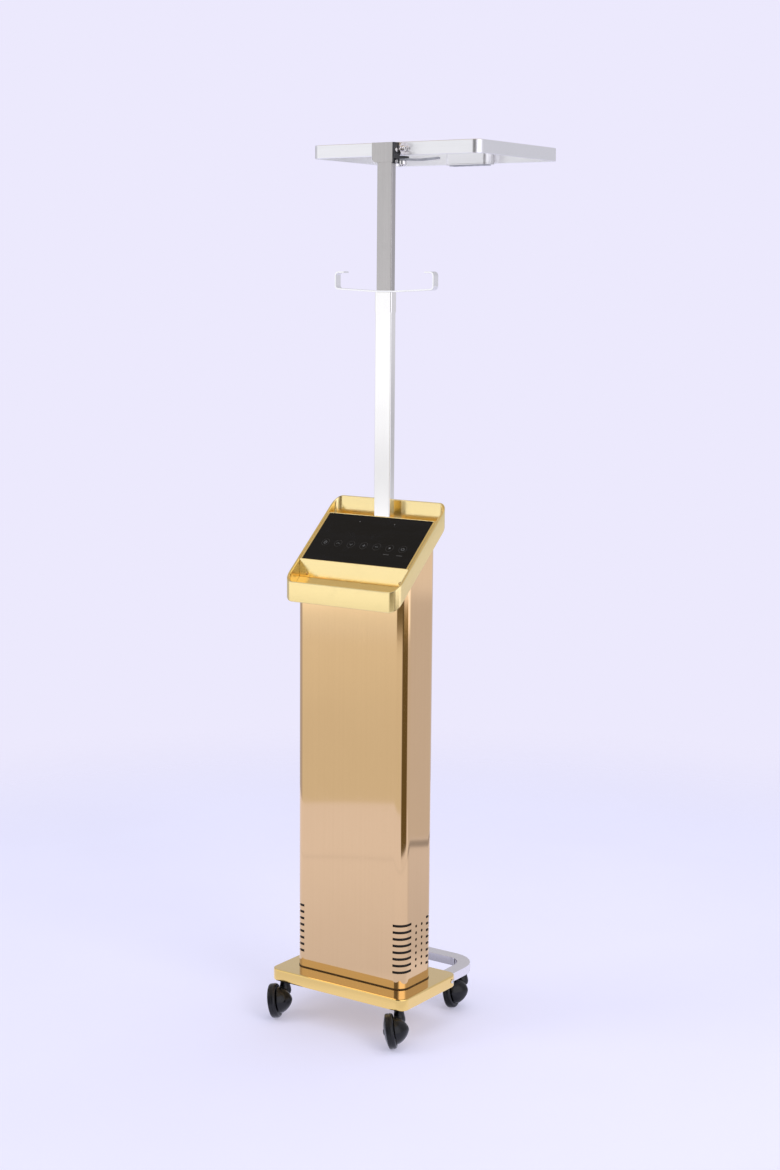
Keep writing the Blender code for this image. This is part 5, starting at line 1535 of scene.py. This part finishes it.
@dataclass
class Studio:
    """The floor, the light and the camera.

    Attributes:
        paper: colour of the floor and of what is behind.
        aside: the camera's distance to the right of the machine.
        ahead: its distance in front of the column.
        eye: its height.
        yaw: its turn to the left of straight back, in degrees.
        pitch: its look down, in degrees.
        roll: its lean, in degrees.
        focal: focal length in pixels of the frame's long side.
        long_side: the frame's long side in pixels.
        sensor: width of the camera's sensor in millimetres.
        paper_radius: radius of the paper.
        paper_level: the paper's height.
        paper_fade: where the paper fades into the room, for the camera.
        paper_edge: how far the paper reaches in what metal mirrors.
        shadow: how much of the shadow on the paper shows.
        front_steps: how the front wall brightens upwards: start and end in degrees, and strength.
        front_bands: bands on the front wall: lower and upper edge in degrees, softness, and strength.
        side_bands: the same for the wall behind on the right, which the right faces mirror.
        lamp_colour: colour of the soft boxes.
        sky: colour of the even light.
        sky_strength: strength of the even light.
    """

    paper: Colour = (0.839, 0.815, 0.982)
    aside: float = 2.165
    ahead: float = 3.004
    eye: float = 1.435
    yaw: float = 34.585
    pitch: float = 8.56
    roll: float = 0.46
    focal: float = 1964.0
    long_side: float = 1170.0
    sensor: float = 36.0
    paper_radius: float = 3.2
    paper_level: float = -0.0004
    paper_fade: Pair = (1.35, 2.6)
    paper_edge: float = 1.3
    shadow: float = 0.62
    front_steps: tuple[Place, ...] = ((-13.0, -10.4, 0.08), (-10.4, -9.0, 0.13), (6.0, 12.0, -0.27))
    front_bands: tuple[Band, ...] = (
        (-9.1, -6.6, 0.4, 0.40), (-6.4, -4.6, 0.4, -0.34), (-4.0, -0.5, 0.6, 0.13),
    )
    side_bands: tuple[Band, ...] = ((-8.8, -6.6, 0.3, 0.34), (-6.2, -2.6, 1.2, -0.30))
    lamp_colour: Colour = (1.0, 0.985, 0.96)
    sky: Colour = (0.88, 0.94, 1.10)
    sky_strength: float = 0.66

    def build(self) -> None:
        """Make the studio."""
        self.camera()
        self.world()
        self.floor()
        self.lamp("key_soft_box", (-2.6, -2.7, 2.9), (0, 0, 0.8), 1.8, 34.0)
        self.lamp("fill_soft_box", (3.2, -1.2, 2.9), (0, 0, 0.6), 1.8, 48.0)
        self.lamp("top_soft_box", (0.2, 0.6, 3.6), (0, 0, 0.5), 2.4, 34.0)
        settings = bpy.context.scene.view_settings
        settings.view_transform = "Standard"

    def camera(self) -> None:
        """Stand the camera where the photograph was taken from."""
        yaw, pitch, roll = (math.radians(v) for v in (self.yaw, self.pitch, self.roll))
        ahead = Vector((-math.sin(yaw) * math.cos(pitch), math.cos(yaw) * math.cos(pitch), -math.sin(pitch)))
        right = Vector((math.cos(yaw), math.sin(yaw), 0))
        up = right.cross(ahead)
        lean_right = right * math.cos(roll) + up * math.sin(roll)
        lean_up = up * math.cos(roll) - right * math.sin(roll)
        data = bpy.data.cameras.new("photo_camera")
        data.sensor_fit = "AUTO"
        data.sensor_width = self.sensor
        data.lens = self.focal / self.long_side * self.sensor
        made = bpy.data.objects.new("photo_camera", data)
        turn = Matrix((lean_right, lean_up, -ahead)).transposed().to_4x4()
        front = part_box("column_shell")[0].y
        made.matrix_world = Matrix.Translation((self.aside, front - self.ahead, self.eye)) @ turn
        bpy.context.scene.collection.objects.link(made)
        bpy.context.scene.camera = made

    def walls(self, sheet: Sheet) -> Wire:
        """What metal mirrors: a bright front and right, dark gaps between, and a dim back and ceiling.

        Args:
            sheet: the world's sheet.

        Returns:
            The background shader.
        """
        x, y, z = sheet.parts(sheet.add("ShaderNodeTexCoord", output="Generated"))
        azimuth = x.turn(y * -1.0)
        rise = z.lift()
        wall = rise.rise(-10.2, -9.6)
        floor = 1 - wall
        upper = rise.rise(-6.0, -3.0)
        middle = 1 - upper
        front = azimuth.band(-68, -20, 6) * wall + azimuth.band(-68, 36, 4) * floor
        low_gap = azimuth.band(41, 97, 5) * (1 - rise.rise(-9.2, -8.8))
        window = azimuth.rise(50, 58) * (1 - azimuth.rise(100, 136)) * middle * 0.9
        window = window + azimuth.rise(32, 40) * (1 - azimuth.rise(84, 110)) * upper * 0.7
        high_gap = azimuth.band(-19, 24, 5) + azimuth.band(24, 47, 5) * middle
        high_gap = high_gap * wall * (1 - rise.rise(40, 52))
        left_gap = azimuth.band(-128, -62, 10) * rise.band(-20, 34, 8)
        back = rise.band(3, 34, 5) * azimuth.far().rise(95, 125)
        ceiling = rise.rise(34, 54)
        soft_box = azimuth.band(-64, -36, 4) * rise.band(36, 46, 3)
        depth = sum((rise.rise(low, high) * gain for low, high, gain in self.front_steps), 0.10)
        depth = sum((rise.band(low, high, soft) * gain for low, high, soft, gain in self.front_bands), depth)
        side = sum(rise.band(low, high, soft) * gain for low, high, soft, gain in self.side_bands)
        level = (0.68 + front * depth + window * wall) * (1 - low_gap * 0.78) * (1 - high_gap * 0.76)
        level = level * (1 + azimuth.band(116, 174, 8) * side) * (1 - left_gap * 0.22)
        level = level * (1 - ceiling * 0.2) * (1 - back * 0.15) + soft_box * 3.0
        tint = sheet.blend((1.0, 0.985, 1.16), (1.0, 0.99, 1.07), rise.rise(-9.0, -7.0))
        tint = sheet.blend(tint, (1.0, 0.97, 0.95), front * floor)
        tint = sheet.blend(tint, (1.0, 1.0, 1.03), front * wall)
        brown = (low_gap + high_gap) * (1 - rise.rise(-4.0, -2.0))
        tint = sheet.blend(tint, (1.0, 0.76, 0.36), brown)
        tint = sheet.blend(tint, (1.0, 0.80, 0.53), rise.rise(46, 54))
        return sheet.add("ShaderNodeBackground", None, {"Color": tint, "Strength": level})

    def world(self) -> None:
        """A pale room: even for the camera, with bright and dark walls for what the metal mirrors."""
        room = bpy.context.scene.world or bpy.data.worlds.new("room")
        bpy.context.scene.world = room
        room.use_nodes = True
        sheet = Sheet(room.node_tree)
        camera, mirrored = sheet.rays()
        seen = sheet.add("ShaderNodeBackground", None, {"Color": (*self.paper, 1.0), "Strength": 1.0})
        sky = {"Color": (*self.sky, 1.0), "Strength": self.sky_strength}
        lit = sheet.mix(sheet.add("ShaderNodeBackground", None, sky), self.walls(sheet), mirrored)
        sheet.end(sheet.mix(lit, seen, camera), True)

    def floor(self) -> None:
        """A round sheet of pale paper, just under the wheels."""
        data = bpy.data.meshes.new("paper_floor")
        disc = bmesh.new()
        bmesh.ops.create_circle(disc, cap_ends=True, segments=96, radius=self.paper_radius)
        disc.to_mesh(data)
        disc.free()
        made = bpy.data.objects.new("paper_floor", data)
        made.location = (0, 0, self.paper_level)
        bpy.context.scene.collection.objects.link(made)
        data.materials.append(self.paper_material())

    def paper_material(self) -> bpy.types.Material:
        """Paper that fades into the room behind, with a plainer image of itself for what metal mirrors.

        Returns:
            The material.
        """
        material = bpy.data.materials.new("studio_paper")
        material.use_nodes = True
        sheet = Sheet(material.node_tree)
        place = sheet.place()
        reach = sheet.add("ShaderNodeVectorMath", {"operation": "LENGTH"}, {0: place}, "Value")
        shade = tuple(value * 0.985 for value in self.paper)
        colour = sheet.blend(shade, self.paper, sheet.noise(place, 1.7, 3.0).rise(0.3, 0.7))
        inputs = {"Base Color": colour, "Roughness": 0.9, "Specular IOR Level": 0.0}
        inputs["Normal"] = sheet.bump(sheet.noise(place, 900.0, 3.0), 0.00005)
        glow = sheet.add("ShaderNodeEmission", None, {"Color": colour, "Strength": 1.0})
        camera, mirrored = sheet.rays()
        seen = sheet.mix(sheet.principled(inputs), glow, camera * (1 - self.shadow))
        image, edge = self.paper_image(sheet, place, reach)
        fade = reach.rise(*self.paper_fade) * (1 - mirrored) + (reach - edge).rise(-0.01, 0.01) * mirrored
        clear = sheet.add("ShaderNodeBsdfTransparent")
        sheet.end(sheet.mix(sheet.mix(seen, image, mirrored), clear, fade))
        return material

    def paper_image(self, sheet: Sheet, place: Wire, reach: Wire) -> tuple[Wire, Wire]:
        """The paper as metal mirrors it: a glowing painted reflection, with painted shade under the machine, along
        the paper's edge and behind on the right, and painted light close to the machine.

        Args:
            sheet: the paper's sheet.
            place: the point on the paper.
            reach: its distance from the middle.

        Returns:
            The shader, and how far the paper reaches.
        """
        x, y, _ = sheet.parts(place)
        azimuth = x.turn(y * -1.0)
        edge = self.paper_edge
        behind = azimuth.band(108, 176, 8)
        before = 1 - behind
        # Painted shade: a darker ring along the paper's edge, thin in front and wider behind on the right.
        line = reach.band(edge - 0.012, edge + 0.006, 0.010) * before
        side_edge_shade = reach.band(edge - 0.030, edge + 0.030, 0.014) * behind
        # Painted light: the image is brighter close to the machine.
        near_painted_light = 1 - reach.rise(0.38, 0.50)
        # Painted shadow: the image is darker under the base plate and the bar behind it.
        under = x.band(-0.16, 0.16, 0.03) * y.band(-0.19, 0.24, 0.04)
        level = 0.77 + reach.rise(0.2, 1.4) * 0.13 + near_painted_light * 0.12
        # Painted shade: darker behind on the right, less so close to the machine.
        level = level * (1 - behind * (0.14 - near_painted_light * 0.10))
        level = level * (1 - line * 0.14 - side_edge_shade * 0.54 - under * 0.55)
        colour = sheet.dimmed((1.0, 1.0, 1.25), level)
        image = sheet.add("ShaderNodeEmission", None, {"Color": colour, "Strength": 1.0})
        apron = before * (0.11 + (1 - azimuth.band(38, 100, 4)) * 0.41) + behind * 0.04
        return image, edge + 0.02 + apron

    def lamp(self, name: str, place: Place, target: Place, size: float, power: float) -> None:
        """A soft box.

        Args:
            name: its name.
            place: where it stands.
            target: what it looks at.
            size: its side in metres.
            power: watts.
        """
        data = bpy.data.lights.new(name, "AREA")
        data.shape = "SQUARE"
        data.size = size
        data.energy = power
        data.color = self.lamp_colour
        made = bpy.data.objects.new(name, data)
        made.location = place
        made.rotation_mode = "QUATERNION"
        made.rotation_quaternion = (Vector(target) - Vector(place)).to_track_quat("-Z", "Y")
        made.visible_glossy = False
        bpy.context.scene.collection.objects.link(made)


def main() -> None:
    """Build the sub-assemblies in order and report each piece."""
    logging.basicConfig(level=logging.INFO, format="%(message)s")
    Studio().build()
    corners = ("front_left", "front_right", "rear_left", "rear_right")
    assemblies = [Foot(), Column(), Console(), Mast(), LeadRing(), BackPanel()]
    assemblies += [Castor(corner) for corner in corners]
    for assembly in assemblies:
        assembly.build()


if __name__ == "__main__":
    main()
